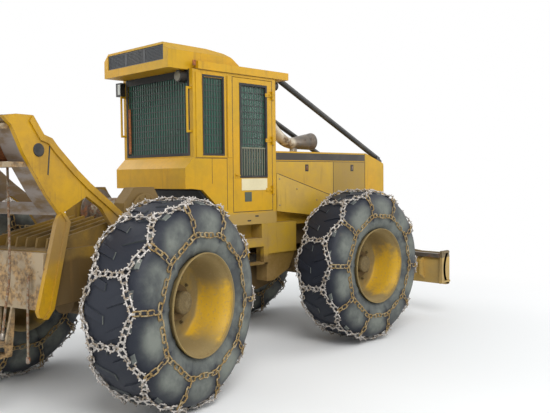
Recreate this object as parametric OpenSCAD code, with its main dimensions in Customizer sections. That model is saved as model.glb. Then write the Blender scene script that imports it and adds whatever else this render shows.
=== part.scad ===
/* [Wheels] */
// Distance between the two axles
wheelbase = 3326; // [3200:1:3500]
// Share of the wheelbase in front of the steering pivot
front_axle_x = 1757; // [1700:1:1830]
// Distance from the centre plane to the middle of each tyre
track_half = 1060; // [1040:1:1100]
// Tyre radius over the lugs
tyre_r = 880; // [860:1:900]
// Tyre width over the side walls
tyre_w = 620; // [560:1:640]
// Height of one tread lug
lug_h = 30; // [20:1:40]
// Number of lugs on each half of the tread
lug_count = 22; // [16:1:26]
// Radius of the rim's outer flange
rim_r = 433; // [420:1:440]
// Thickness of the rim's barrel
rim_wall = 14; // [10:1:20]
// Radius of the wheel bolt flange
hub_r = 215; // [190:1:240]
// Radius of the chain's wire, taken over its links
chain_r = 16; // [12:1:18]
// Cells of the chain net round one tyre
chain_cells = 12; // [9:1:14]

/* [Steering] */
// Angle the rear half stands at, seen from above
steer = 15; // [-20:1:20]
// Radius of the pivot pins
pivot_pin_r = 50; // [40:1:60]
// Height of the upper pivot over the axles
pivot_top_z = 350; // [330:1:380]
// Height of the lower pivot over the axles
pivot_low_z = -160; // [-190:1:-140]
// Thickness of the rear half's pivot tongues
tongue_t = 94; // [80:1:100]
// Thickness of the front half's pivot lugs
lug_plate_t = 50; // [40:1:60]
// Height of the steering cylinders over the axles
steer_cyl_z = 110; // [95:1:125]
// Radius of a steering cylinder's barrel
steer_barrel_r = 45; // [38:1:50]
// Radius of a steering cylinder's rod
steer_rod_r = 25; // [18:1:30]

/* [Frame] */
// Half width over the front rails
front_rail_y = 330; // [300:1:345]
// Half width over the rear rails
rear_rail_y = 440; // [420:1:460]
// Thickness of the rails
rail_t = 45; // [30:1:60]
// Height of the rails' top over the axles
rail_top_z = 480; // [460:1:500]

/* [Hood] */
// Half width of the hood
hood_y = 500; // [480:1:520]
// Height of the hood's top over the axles
hood_top_z = 1341; // [1300:1:1380]
// Place of the hood's front edge
hood_front_x = 3040; // [2980:1:3080]
// Thickness of the hood's sheet
sheet_t = 20; // [10:1:25]
// Height of the dark stripe
stripe_h = 80; // [60:1:100]

/* [Cab] */
// Half width of the cab
cab_y = 620; // [600:1:640]
// Place of the cab's rear face
cab_rear_x = -380; // [-400:1:-360]
// Place of the cab's front face
cab_front_x = 805; // [790:1:830]
// Height of the belt line over the axles
belt_z = 1251; // [1220:1:1270]
// Height of the roof plate's underside over the axles
roof_z = 2141; // [2100:1:2180]
// Thickness of the roof plate
roof_t = 80; // [60:1:90]
// Height of the sill's underside over the axles
sill_z = 526; // [510:1:540]
// Depth of the sill
sill_h = 140; // [120:1:160]
// Thickness of the cab's walls
wall_t = 40; // [30:1:45]
// Place of the door's rear edge
door_rear_x = 156; // [150:1:170]
// Place of the door's hinge line
door_hinge_x = 742; // [735:1:750]
// Gap round each door
door_gap = 6; // [6:1:8]
// Distance of the door's hinge line from the cab's side
hinge_out = 17; // [15:1:20]
// Radius of a door hinge's knuckle
knuckle_r = 12; // [10:1:14]

/* [Blade] */
// Half width of the blade
blade_half = 1220; // [1150:1:1260]
// Height of the blade's side parts
blade_h = 430; // [400:1:480]
// Height of the blade's middle part
blade_mid_h = 860; // [800:1:900]
// Place of the blade arms' pivot
arm_pivot_x = 2360; // [2340:1:2380]
// Height of the blade arms' pivot over the axles
arm_pivot_z = -60; // [-80:1:-40]
// Distance of each blade arm from the centre plane
arm_y = 570; // [560:1:580]
// Thickness of each of a blade arm's two plates
arm_t = 20; // [12:1:24]
// Radius of a lift cylinder's barrel
lift_barrel_r = 40; // [34:1:45]
// Radius of a lift cylinder's rod
lift_rod_r = 22; // [16:1:26]

/* [Arch and winch] */
// Thickness of an arch side plate
arch_t = 40; // [30:1:50]
// Radius of the winch drum's core
drum_r = 130; // [110:1:150]
// Radius of the winch drum's flanges
drum_flange_r = 225; // [200:1:240]
// Half width of the winch drum
drum_half = 200; // [180:1:220]
// Radius of the fairlead rollers
roller_r = 60; // [50:1:70]

/* [Hidden] */
$fn = 48;

yellow = "gold";
worn_yellow = "goldenrod";
black = "dimgray";
steel = "silver";
rubber = "darkslategray";

// Sides: the right of the machine is -y
right = -1;
left = 1;

// The chain lies on the lugs, so the wheel's radius is the tyre's and the wire's
chain_path_r = tyre_r + chain_r * 0.5;
axle_z = chain_path_r + chain_r;
rear_axle_x = front_axle_x - wheelbase;

// Clearances
fit_gap = 0.1;
run_gap = 3;
move_gap = 6;
seat_gap = 0.3;

// The blade's reach and the arch's reach set where the middle of the machine is
blade_front_x = 3560;
arch_tail_x = -2800;
tail_x = arch_tail_x * cos(steer) - (rear_rail_y + arch_t) * sin(steer);
// The chain lies against the tyre's side wall and hangs on a ring
wall_y = tyre_w / 2 + 4;
ring_r = 590;
ring_hook = 130;
side_left_y = max(track_half + wall_y + chain_r, blade_half);
side_right_y = -side_left_y * cos(steer) + (rear_axle_x - ring_r - ring_hook + 20) * sin(steer);
stand_x = -(blade_front_x + tail_x) / 2;
stand_y = -(side_left_y + side_right_y) / 2;

// The front half: x forward from the steering pivot, z up from the axles
module front_half() {
  translate([stand_x, stand_y, axle_z]) children();
}

// The rear half turns about the steering pivot
module rear_half() {
  translate([stand_x, stand_y, axle_z]) rotate([0, 0, steer]) children();
}

module both_sides() {
  children();
  mirror([0, 1, 0]) children();
}

// A box given by its low and high corners
module block(a, b) {
  translate(a) cube([b[0] - a[0], b[1] - a[1], b[2] - a[2]]);
}

// A side outline in x and z, thick from y0 to y1
module slab(points, y0, y1) {
  translate([0, y1, 0]) rotate([90, 0, 0]) linear_extrude(y1 - y0) polygon(points);
}

// A rear outline in y and z, thick from x0 to x1
module cross_slab(points, x0, x1) {
  translate([x0, 0, 0]) rotate([90, 0, 90]) linear_extrude(x1 - x0) polygon(points);
}

// A round bar between two points of one plane
module bar(p, q, r, sides = 24) {
  d = q - p;
  len = norm(d);
  translate(p)
    rotate([0, acos(d[2] / len), atan2(d[1], d[0])])
      cylinder(r = r, h = len, $fn = sides);
}

module cyl_y(x, z, r, y0, y1, sides = 48) {
  translate([x, y1, z]) rotate([90, 0, 0]) cylinder(r = r, h = y1 - y0, $fn = sides);
}

module cyl_x(y, z, r, x0, x1, sides = 48) {
  translate([x0, y, z]) rotate([0, 90, 0]) cylinder(r = r, h = x1 - x0, $fn = sides);
}

module cyl_z(x, y, r, z0, z1, sides = 48) {
  translate([x, y, z0]) cylinder(r = r, h = z1 - z0, $fn = sides);
}

// Wheels

// Half section of the carcass: radius and distance from the middle plane
bead_r = rim_r - 18;
function carcass_half() = [
  [bead_r, 250], [bead_r + 20, 272], [rim_r + 60, 296], [rim_r + 150, tyre_w / 2],
  [rim_r + 260, tyre_w / 2 - 4], [tyre_r - 110, 284], [tyre_r - 50, 258],
  [tyre_r - lug_h, 205], [tyre_r - lug_h + 6, 110]
];
function mirrored(points) = [
  for (i = [len(points) - 1:-1:0]) [points[i][0], -points[i][1]]
];

module carcass() {
  half = carcass_half();
  inner = [[bead_r, -205], [bead_r + 60, -230], [tyre_r - 130, -230], [tyre_r - 90, -180],
           [tyre_r - 90, 180], [tyre_r - 130, 230], [bead_r + 60, 230], [bead_r, 205]];
  rotate([90, 0, 0])
    rotate_extrude($fn = 96)
      difference() {
        polygon(concat(half, mirrored(half)));
        polygon(inner);
      }
}

// One slanted lug that starts at the middle and ends on the shoulder
lug_len = 300;
lug_w = 46;
lug_slant = 32;
module lug(side) {
  translate([0, side * 135, tyre_r - lug_h - 18])
    rotate([0, 0, side * lug_slant])
      translate([-lug_w / 2, -lug_len / 2, 0]) cube([lug_w, lug_len, lug_h + 12]);
}

module tread() {
  pitch = 360 / lug_count;
  for (i = [0:lug_count - 1]) {
    rotate([0, i * pitch, 0]) lug(1);
    rotate([0, (i + 0.5) * pitch, 0]) lug(-1);
  }
}

// A place on the wheel: angle round the axle, radius and distance from the middle plane
function on_wheel(a, r, y) = [r * sin(a), y, r * cos(a)];

// The chain net: a strand with columns [angle steps, radius, y, angle steps, radius, y]
tread_y = 150;
edge_y = 262;
cell = 360 / chain_cells;
tread_strands = [
  [0.00, chain_path_r, -tread_y, 0.50, chain_path_r - 26, -edge_y],
  [0.50, chain_path_r - 26, -edge_y, 1.00, chain_path_r, -tread_y],
  [0.00, chain_path_r, tread_y, 0.50, chain_path_r - 26, edge_y],
  [0.50, chain_path_r - 26, edge_y, 1.00, chain_path_r, tread_y],
  [0.00, chain_path_r, -tread_y, 0.00, chain_path_r, tread_y]
];
side_strands = [
  [0.50, chain_path_r - 26, edge_y, 0.50, ring_r + ring_hook, wall_y],
  [0.50, ring_r + ring_hook, wall_y, 0.50, ring_r, wall_y - 4],
  [0.50, ring_r, wall_y - 4, 1.50, ring_r, wall_y - 4]
];

module strand(s) {
  bar(on_wheel(s[0] * cell, s[1], s[2]), on_wheel(s[3] * cell, s[4], s[5]), chain_r, 4);
}

module chain_net() {
  for (i = [0:chain_cells - 1])
    rotate([0, i * cell, 0]) {
      for (s = tread_strands) strand(s);
      both_sides() for (s = side_strands) strand(s);
    }
}

module tyre() {
  color(rubber) {
    carcass();
    tread();
    chain_net();
  }
}

// Half the rim's depth, and the disc's place from the middle plane towards the outside
rim_half = 290;
disc_y = 70;
module rim() {
  shell = [
    [rim_r, rim_half + 18], [rim_r - 8, rim_half + 18], [rim_r - 10, rim_half - 10],
    [rim_r - 40, rim_half - 30], [rim_r - 62, disc_y + 40], [rim_r - 90, disc_y + 10],
    [hub_r + 70, disc_y], [hub_r, disc_y - 18], [spindle_r + fit_gap, disc_y - 18],
    [spindle_r + fit_gap, disc_y - 44],
    [hub_r + 60, disc_y - 30], [rim_r - 80, disc_y - 20], [rim_r - 60, disc_y - 20],
    [rim_r - 60, -rim_half + 10], [rim_r - 20, -rim_half - 18], [rim_r, -rim_half - 18],
    [rim_r, -rim_half], [bead_r - seat_gap, -rim_half + 14],
    [bead_r - seat_gap, rim_half - 14], [rim_r, rim_half]
  ];
  color(yellow) rotate([90, 0, 0]) rotate_extrude($fn = 96) polygon(shell);
}

// Wheels: the disc's dished side faces out
module wheel_at(x, side) {
  translate([x, side * track_half, 0]) mirror([0, side > 0 ? 1 : 0, 0]) children();
}

module tyre_front_right() { front_half() wheel_at(front_axle_x, right) tyre(); }
module tyre_front_left() { front_half() wheel_at(front_axle_x, left) tyre(); }
module tyre_rear_right() { rear_half() wheel_at(rear_axle_x, right) tyre(); }
module tyre_rear_left() { rear_half() wheel_at(rear_axle_x, left) tyre(); }
module rim_front_right() { front_half() wheel_at(front_axle_x, right) rim(); }
module rim_front_left() { front_half() wheel_at(front_axle_x, left) rim(); }
module rim_rear_right() { rear_half() wheel_at(rear_axle_x, right) rim(); }
module rim_rear_left() { rear_half() wheel_at(rear_axle_x, left) rim(); }

// Axles: a middle case, two tapered tubes, and hub ends that the rims bolt to
axle_case_r = 200;
axle_tube_r = 110;
hub_face_y = track_half + disc_y - 44 - move_gap;
spindle_r = 90;
spindle_end_y = track_half + disc_y + 20;
module axle(mount_top) {
  rotate([90, 0, 0])
    rotate_extrude($fn = 64)
      polygon([
        [0, -hub_face_y], [150, -hub_face_y], [170, -hub_face_y + 60], [170, -hub_face_y + 200],
        [axle_tube_r, -hub_face_y + 260], [axle_tube_r, -300], [axle_case_r, -150],
        [axle_case_r, 150], [axle_tube_r, 300], [axle_tube_r, hub_face_y - 260],
        [170, hub_face_y - 200], [170, hub_face_y - 60], [150, hub_face_y], [0, hub_face_y]
      ]);
  cyl_x(0, 0, 150, -260, 260);
  cyl_y(0, 0, spindle_r, -spindle_end_y, spindle_end_y, 96);
  block([-130, -rear_rail_y + 4, 0], [130, -260, mount_top]);
  block([-130, 260, 0], [130, rear_rail_y - 4, mount_top]);
}

axle_seat_z = 220;
module front_axle() {
  color(worn_yellow) front_half() translate([front_axle_x, 0, 0]) axle(axle_seat_z);
}
module rear_axle() {
  color(worn_yellow) rear_half() translate([rear_axle_x, 0, 0]) axle(axle_seat_z);
}

// Front frame
front_wall_x = 560;
pivot_eye_r = 110;
arm_pin_r = 30;
lift_top_x = arm_pivot_x + 330;
lift_top_z = arm_pivot_z + 660;
lift_pin_r = 22;
lift_eye_half = 40;
arm_half_gap = 46;
steer_front = [700, 360];
steer_rear = [-360, 300];

module pivot_lug(z) {
  difference() {
    linear_extrude_at(z) {
      circle(r = pivot_eye_r);
      polygon([[-20, -pivot_eye_r + 2], [front_wall_x, -front_rail_y],
               [front_wall_x, front_rail_y], [-20, pivot_eye_r - 2]]);
    }
    cyl_z(0, 0, pivot_pin_r + fit_gap, z - 1, z + lug_plate_t + 1);
  }
}

module linear_extrude_at(z) {
  translate([0, 0, z]) linear_extrude(lug_plate_t) children();
}

function lug_levels() = [
  for (c = [pivot_top_z, pivot_low_z])
    for (side = [-1, 1])
      side > 0 ? c + tongue_t / 2 + run_gap : c - tongue_t / 2 - run_gap - lug_plate_t
];

module front_rail() {
  outline = [
    [front_wall_x, pivot_low_z - 100], [front_wall_x, rail_top_z], [hood_front_x - 60, rail_top_z],
    [hood_front_x - 40, rail_top_z - 60], [hood_front_x - 40, 40], [arm_pivot_x + 130, -160],
    [arm_pivot_x - 130, -160], [2120, axle_seat_z], [1400, axle_seat_z], [1240, -40],
    [1020, -200], [770, pivot_low_z - 100]
  ];
  slab(outline, front_rail_y - rail_t, front_rail_y);
}

// Plates over and under the eye of a steering cylinder's barrel
steer_eye_half = 50;
steer_pin_r = 24;
bracket_t = 20;
module steer_bracket() {
  for (z = [steer_cyl_z - steer_eye_half - run_gap - bracket_t, steer_cyl_z + steer_eye_half + run_gap])
    block([steer_front[0] - 80, front_rail_y - rail_t, z],
          [steer_front[0] + 60, steer_front[1] + 55, z + bracket_t]);
}

// Outriggers that the hood's nose stands on
module nose_seat() {
  block([2800, front_rail_y - 1, rail_top_z - 40], [hood_front_x - 40, hood_y, rail_top_z]);
}

cab_pads = [[300, 150, pivot_top_z + tongue_t / 2 + run_gap + lug_plate_t], [640, 300, rail_top_z]];
module front_frame() {
  wall_low_z = pivot_low_z - 100;
  color(worn_yellow) front_half() {
    for (z = lug_levels()) pivot_lug(z);
    difference() {
      union() {
        both_sides() front_rail();
        block([front_wall_x, -front_rail_y, wall_low_z], [front_wall_x + 40, front_rail_y, rail_top_z]);
      }
      // Room for the steering cylinders to swing
      both_sides()
        block([front_wall_x - 1, 230, steer_cyl_z - steer_eye_half - run_gap],
              [steer_front[0] + 70, front_rail_y + 1, steer_cyl_z + steer_eye_half + run_gap]);
    }
    block([hood_front_x - 100, -front_rail_y, 40], [hood_front_x - 40, front_rail_y, rail_top_z - 60]);
    block([1240, -front_rail_y + 1, axle_seat_z], [1300, front_rail_y - 1, rail_top_z]);
    block([front_wall_x, -front_rail_y, wall_low_z], [770, front_rail_y, wall_low_z + 20]);
    both_sides() {
      nose_seat();
      for (p = cab_pads) cyl_z(p[0], p[1], 45, p[2] - 1, sill_z);
      difference() {
        union() {
          steer_bracket();
          // Boss of the blade arm's pivot
          slab([[arm_pivot_x - 120, 40], [arm_pivot_x + 120, 40], [arm_pivot_x + 80, -150],
                [arm_pivot_x - 80, -150]], front_rail_y - 1, front_rail_y + 40);
          cyl_y(arm_pivot_x, arm_pivot_z, 75, front_rail_y, arm_y - arm_half_gap - arm_t - run_gap);
          // Tower and boss of the lift cylinder
          slab([[lift_top_x - 90, rail_top_z - 40], [lift_top_x + 120, rail_top_z - 40],
                [lift_top_x + 60, lift_top_z + 50], [lift_top_x - 50, lift_top_z + 50]],
               front_rail_y - rail_t, front_rail_y);
          cyl_y(lift_top_x, lift_top_z, 50, front_rail_y - 1, arm_y - lift_eye_half - run_gap);
        }
        cyl_z(steer_front[0], steer_front[1], steer_pin_r + fit_gap, 0, 300);
        cyl_y(arm_pivot_x, arm_pivot_z, arm_pin_r + fit_gap, front_rail_y + 20, cab_y);
        cyl_y(lift_top_x, lift_top_z, lift_pin_r + fit_gap, front_rail_y + 20, cab_y);
      }
    }
  }
}

module pivot_pins() {
  color(steel) front_half()
    for (c = [pivot_top_z, pivot_low_z]) {
      half = tongue_t / 2 + run_gap + lug_plate_t;
      cyl_z(0, 0, pivot_pin_r, c - half, c + half + 20);
      cyl_z(0, 0, pivot_pin_r + 20, c + half, c + half + 20);
    }
}

// Plain block for the engine, its fan end forward
module engine_block() {
  color(black) front_half() {
    engine_y = front_rail_y - rail_t;
    block([1310, -engine_y, 240], [2250, engine_y, 1050]);
    block([2249, -60, 600], [2421, 60, 720]);
    cyl_x(0, 660, 330, 2420, 2440);
    block([700, -230, 120], [1240, 230, 470]);
    // Radiator on the rails behind the grille
    block([2840, -400, rail_top_z], [2940, 400, 1120]);
  }
}

// Hood
hood_rear_x = cab_front_x + 10;
post_x = 2620;
nose_x = 2640;
nose_top_z = 1211;
panel_top_z = hood_top_z - 30 - stripe_h - 10;
module hood() {
  color(yellow) front_half() {
    difference() {
      slab([[hood_rear_x, panel_top_z + 6], [hood_rear_x, hood_top_z], [nose_x, hood_top_z],
            [hood_front_x - 10, nose_top_z], [hood_front_x, nose_top_z - 30],
            [hood_front_x, rail_top_z], [2800, rail_top_z], [2800, 700], [post_x, 700],
            [post_x, panel_top_z + 6]],
           -hood_y, hood_y);
      slab([[hood_rear_x - 1, panel_top_z], [hood_rear_x - 1, hood_top_z - sheet_t],
            [nose_x - 4, hood_top_z - sheet_t], [hood_front_x - 30, nose_top_z - 30],
            [hood_front_x - 40, nose_top_z - 60], [hood_front_x - 40, rail_top_z - 1],
            [post_x - 1, rail_top_z - 1], [post_x - 1, panel_top_z]],
           -hood_y + sheet_t, hood_y - sheet_t);
      block([hood_front_x - 60, -hood_y + 70, rail_top_z - 1],
            [hood_front_x + 1, hood_y - 70, nose_top_z - 70]);
    }
  }
}

panel_joint_x = 2050;
module side_panels() {
  color(yellow) front_half() both_sides() {
    block([hood_rear_x, hood_y - sheet_t, rail_top_z], [panel_joint_x - 3, hood_y, panel_top_z]);
    block([panel_joint_x + 3, hood_y - sheet_t, rail_top_z], [post_x - 3, hood_y, panel_top_z]);
    block([hood_rear_x, front_rail_y, rail_top_z - 20], [post_x - 3, hood_y, rail_top_z]);
  }
}

cover_points = [[hood_rear_x, 655], [hood_rear_x, 1088], [1830, 797], [1830, 565], [1520, 571]];
module lower_covers() {
  color(yellow) front_half() both_sides()
    difference() {
      slab(cover_points, hood_y, cab_y);
      slab([[hood_rear_x + sheet_t, 675], [hood_rear_x + sheet_t, 1062], [1830 - sheet_t, 781],
            [1830 - sheet_t, 585], [1520, 591]], hood_y - 1, cab_y - sheet_t);
    }
}

// Grille: a frame with level bars
module grille() {
  color(black) front_half() {
    x0 = hood_front_x - 40;
    x1 = hood_front_x - 12;
    y1 = hood_y - 70;
    z0 = rail_top_z;
    z1 = nose_top_z - 70;
    difference() {
      block([x0, -y1, z0], [x1, y1, z1]);
      block([x0 - 1, -y1 + 30, z0 + 30], [x1 + 1, y1 - 30, z1 - 30]);
    }
    bars = 9;
    step = (z1 - z0 - 60) / (bars + 1);
    for (i = [1:bars])
      block([x0 + 4, -y1 + 29, z0 + 30 + i * step - 9], [x1 - 4, y1 - 29, z0 + 30 + i * step + 9]);
    for (y = [-200, 0, 200]) block([x0 + 8, y - 8, z0 + 29], [x1 - 8, y + 8, z1 - 29]);
  }
}

// Exhaust: an elbow that lies on the hood's far side
module exhaust() {
  color(black) front_half() {
    cyl_z(2200, 300, 75, hood_top_z, 1480);
    translate([2200, 300, 1480]) sphere(r = 75);
    bar([2200, 300, 1480], [2560, 300, 1600], 75);
    bar([2200, 300, 1480], [1880, 300, 1600], 45);
  }
}

// Limb risers: bars from the roof's front corners to the hood's nose
riser_r = 34;
riser_y = 450;
function nose_z(x) = hood_top_z + (x - nose_x) * (nose_top_z - hood_top_z) / (hood_front_x - 10 - nose_x);
module limb_risers() {
  color(black) front_half() both_sides() {
    difference() {
      bar([1010, riser_y, 2181], [2980, riser_y, nose_z(2980) + 42], riser_r);
      block([900, riser_y - 60, 2000], [1000 + seat_gap, riser_y + 60, 2400]);
    }
    // Foot on the nose
    slab([[2900, nose_z(2900) + seat_gap], [3010, nose_z(3010) + seat_gap],
          [3010, nose_z(3010) + 30], [2900, nose_z(2900) + 60]], riser_y - 40, riser_y + 40);
  }
}

// Cab
post_w = 70;
mid_post_x = [70, 150];
front_post_x = 748;
sill_top_z = sill_z + sill_h;
module cab_frame() {
  color(yellow) front_half() {
    both_sides() {
      // Rear post widens to the top
      slab([[cab_rear_x, belt_z], [cab_rear_x, roof_z], [-255, roof_z], [-310, belt_z]],
           cab_y - post_w, cab_y);
      block([mid_post_x[0], cab_y - 50, sill_z], [mid_post_x[1], cab_y, roof_z]);
      block([front_post_x, cab_y - 60, sill_z], [cab_front_x, cab_y, roof_z]);
      // Top rail and sill
      block([-255, cab_y - 60, roof_z - 30], [front_post_x, cab_y, roof_z]);
      block([mid_post_x[1], cab_y - 90, sill_z], [front_post_x, cab_y, sill_top_z]);
    }
    block([cab_rear_x, -cab_y + post_w, roof_z - 60], [cab_rear_x + 50, cab_y - post_w, roof_z]);
    block([cab_rear_x, -cab_y + post_w, belt_z], [cab_rear_x + 50, cab_y - post_w, belt_z + 30]);
    block([front_post_x, -cab_y + 60, roof_z - 60], [cab_front_x, cab_y - 60, roof_z]);
    // Fixed halves of the door hinges
    both_sides() for (z = hinge_levels) {
      for (dz = [-46, 16]) cyl_z(door_hinge_x, cab_y + hinge_out, knuckle_r, z + dz, z + dz + 30);
      block([door_hinge_x, cab_y - 1, z - 46], [door_hinge_x + 30, cab_y + hinge_out, z - 16]);
      block([door_hinge_x, cab_y - 1, z + 16], [door_hinge_x + 30, cab_y + hinge_out, z + 46]);
      cyl_z(door_hinge_x, cab_y + hinge_out, 5, z - 46, z + 46);
    }
  }
}

hinge_levels = [900, 1450, 1950];
module cab_walls() {
  color(yellow) front_half() {
    both_sides() {
      // Lower side wall
      slab([[cab_rear_x, belt_z], [cab_rear_x, 930], [-270, 917], [mid_post_x[0], 622],
            [mid_post_x[0], belt_z]], cab_y - wall_t, cab_y);
      // Frame of the side window
      difference() {
        slab([[-310 + 1, belt_z], [-255, roof_z - 30], [mid_post_x[0], roof_z - 30], [mid_post_x[0], belt_z]],
             cab_y - wall_t, cab_y);
        block([-240, cab_y - wall_t - 1, belt_z + 35], [20, cab_y + 1, roof_z - 70]);
      }
    }
    // Rear box under the window, bevelled on top
    difference() {
      slab([[cab_rear_x, belt_z], [-490, 1141], [-490, 931], [cab_rear_x, 931]], -cab_y, cab_y);
      slab([[cab_rear_x + 1, belt_z - 40], [-465, 1128], [-465, 955], [cab_rear_x + 1, 955]],
           -cab_y + 30, cab_y - 30);
    }
    // Front wall behind the hood
    block([cab_front_x - 40, -cab_y + 60, sill_z], [cab_front_x, cab_y - 60, hood_top_z + 60]);
  }
}

floor_top_z = sill_z + 60;
module cab_floor() {
  color(black) front_half() {
    slab([[50, sill_z], [50, floor_top_z], [cab_front_x - 40, floor_top_z], [cab_front_x - 40, sill_z]],
         -cab_y + 90, cab_y - 90);
    slab([[50, sill_z], [mid_post_x[0], sill_z], [mid_post_x[0], floor_top_z], [30, floor_top_z + 50],
          [-290, 955], [-290, 905]], -cab_y + wall_t, cab_y - wall_t);
    block([cab_rear_x, -cab_y + wall_t, 925], [-289, cab_y - wall_t, 955]);
  }
}

// Roof plate, and the long hump that overhangs the rear as a visor
hump_y = 574;
hump_side = [
  [-648, 2131], [-648, 2388], [-432, 2388], [-98, 2383], [112, 2352], [206, 2301],
  [295, 2240], [295, roof_z], [cab_rear_x - 20, roof_z], [cab_rear_x - 20, 2131]
];
hump_rear = [
  [-hump_y, 2120], [-hump_y, 2314], [-480, 2400], [480, 2400], [hump_y, 2314], [hump_y, 2120]
];
module cab_roof() {
  color(yellow) front_half() {
    block([-320, -cab_y - 20, roof_z], [1000, cab_y + 20, roof_z + roof_t]);
    difference() {
      intersection() {
        slab(hump_side, -hump_y, hump_y);
        cross_slab(hump_rear, -700, 400);
      }
      block([-660, -500, 2215], [-628, 500, 2365]);
    }
  }
}

module roof_louvre() {
  color(black) front_half() {
    slats = 9;
    difference() {
      block([-640, -500 + seat_gap, 2215 + seat_gap], [-628 - seat_gap, 500 - seat_gap, 2365 - seat_gap]);
      for (y = [-330, 0, 330])
        for (i = [0:slats - 1])
          block([-641, y - 150, 2228 + i * 14], [-634, y + 150, 2235 + i * 14]);
    }
  }
}

glass_t = 8;
module cab_glass() {
  color("teal") front_half() {
    both_sides() block([-240, cab_y - 30, belt_z + 35], [20, cab_y - 30 + glass_t, roof_z - 70]);
    block([cab_rear_x + 20, -cab_y + post_w, belt_z + 30], [cab_rear_x + 20 + glass_t, cab_y - post_w, roof_z - 60]);
    block([cab_front_x - 30, -cab_y + 60, hood_top_z + 60], [cab_front_x - 30 + glass_t, cab_y - 60, roof_z - 60]);
  }
}

// Guards: upright bars outside the glass
module guard_bars(w, h, pitch, r) {
  n = floor(w / pitch);
  for (i = [1:n - 1]) translate([0, (i - n / 2) * pitch, 0]) cylinder(r = r, h = h, $fn = 6);
  for (z = [0.02, 0.25, 0.5, 0.75, 0.98]) translate([0, -w / 2, z * h]) rotate([-90, 0, 0]) cylinder(r = r, h = w, $fn = 6);
}

module window_guards() {
  color(black) front_half() {
    translate([cab_rear_x + 8, 0, belt_z + 30]) guard_bars(2 * (cab_y - post_w), roof_z - belt_z - 90, 50, 5);
  }
}

// Seat and controls
module seat() {
  color(black) front_half() {
    block([80, -180, floor_top_z], [300, 180, 861]);
    block([-60, -250, 860], [380, 250, 960]);
    slab([[-60, 959], [20, 959], [-50, 1560], [-130, 1560]], -240, 240);
  }
}

wheel_tilt = -30;
module console() {
  color(black) front_half() {
    block([560, -300, floor_top_z], [cab_front_x - 40, 300, 1250]);
    bar([580, 0, 1100], [440, 0, 1270], 20);
    translate([440, 0, 1270]) rotate([0, wheel_tilt, 0]) {
      rotate_extrude() translate([180, 0]) circle(r = 14);
      for (a = [0, 120, 240]) rotate([0, 0, a]) cyl_x(0, 0, 9, 0, 178, 12);
    }
  }
}

// Tanks between the axles, the right one for fuel
tank_in_y = 430;
tank_x = [664, 1130];
module tanks() {
  color(yellow) front_half() both_sides() {
    block([tank_x[0], tank_in_y, 181], [hood_rear_x - 4, cab_y, sill_z]);
    block([hood_rear_x - 5, hood_y, 181], [tank_x[1], cab_y, sill_z]);
    block([hood_rear_x - 5, tank_in_y, 181], [tank_x[1], hood_y + 1, 320]);
    slab([[tank_x[0], 182], [tank_x[1], 182], [1020, -19], [770, -129], [tank_x[0], -129]],
         tank_in_y, cab_y - 20);
    block([900, front_rail_y, 319], [1100, hood_y + 1, rail_top_z - 20]);
  }
}

module steps() {
  color(yellow) front_half() both_sides() {
    block([360, tank_in_y, 201], [tank_x[0], cab_y, 361]);
    block([630, cab_y - 60, 10], [tank_x[0], cab_y, 202]);
    block([400, cab_y - 160, -19], [tank_x[0], cab_y, 11]);
    block([400, cab_y - 60, 10], [430, cab_y, 202]);
  }
}

module lamps() {
  color(black) front_half() {
    block([cab_rear_x - 60, cab_y - 40, 1960], [cab_rear_x, cab_y + 60, 2110]);
    cyl_x(-cab_y + 140, 2070, 60, cab_rear_x - 80, cab_rear_x);
    for (y = [-450, 450]) cyl_x(y, roof_z - 50, 50, 920, 980);
  }
}

module grab_handles() {
  color(yellow) front_half()
    for (side = [-1, 1]) {
      y = side * (cab_y - 30);
      x = cab_rear_x - 50;
      cyl_z(x, y, 12, 1500, 1960);
      for (z = [1512, 1948]) bar([x, y, z], [cab_rear_x, y, z], 12);
    }
}

// Doors
door_low_z = sill_top_z + door_gap;
door_top_z = roof_z - 30 - door_gap;
window_x = [270, 650];
window_z = [1051, 2031];
module door(side) {
  color(yellow) front_half() mirror([0, side < 0 ? 1 : 0, 0]) {
    difference() {
      block([door_rear_x, cab_y - wall_t, door_low_z], [door_hinge_x, cab_y, door_top_z]);
      block([window_x[0], cab_y - wall_t - 1, window_z[0]], [window_x[1], cab_y + 1, window_z[1]]);
    }
    for (z = hinge_levels)
      difference() {
        union() {
          cyl_z(door_hinge_x, cab_y + hinge_out, knuckle_r, z - 14, z + 14);
          block([door_hinge_x - 40, cab_y, z - 14], [door_hinge_x, cab_y + hinge_out - 6, z + 14]);
        }
        cyl_z(door_hinge_x, cab_y + hinge_out, 5 + fit_gap, z - 15, z + 15);
      }
  }
}

module door_screen(side) {
  color("teal") front_half() mirror([0, side < 0 ? 1 : 0, 0]) {
    block([window_x[0], cab_y - 34, window_z[0]], [window_x[1], cab_y - 34 + glass_t, window_z[1]]);
    n = 9;
    for (i = [1:n - 1])
      translate([window_x[0] + i * (window_x[1] - window_x[0]) / n, cab_y - 24, window_z[0]])
        cylinder(r = 5, h = window_z[1] - window_z[0], $fn = 6);
  }
}

module door_right() { door(right); }
module door_left() { door(left); }
module door_screen_right() { door_screen(right); }
module door_screen_left() { door_screen(left); }

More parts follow.
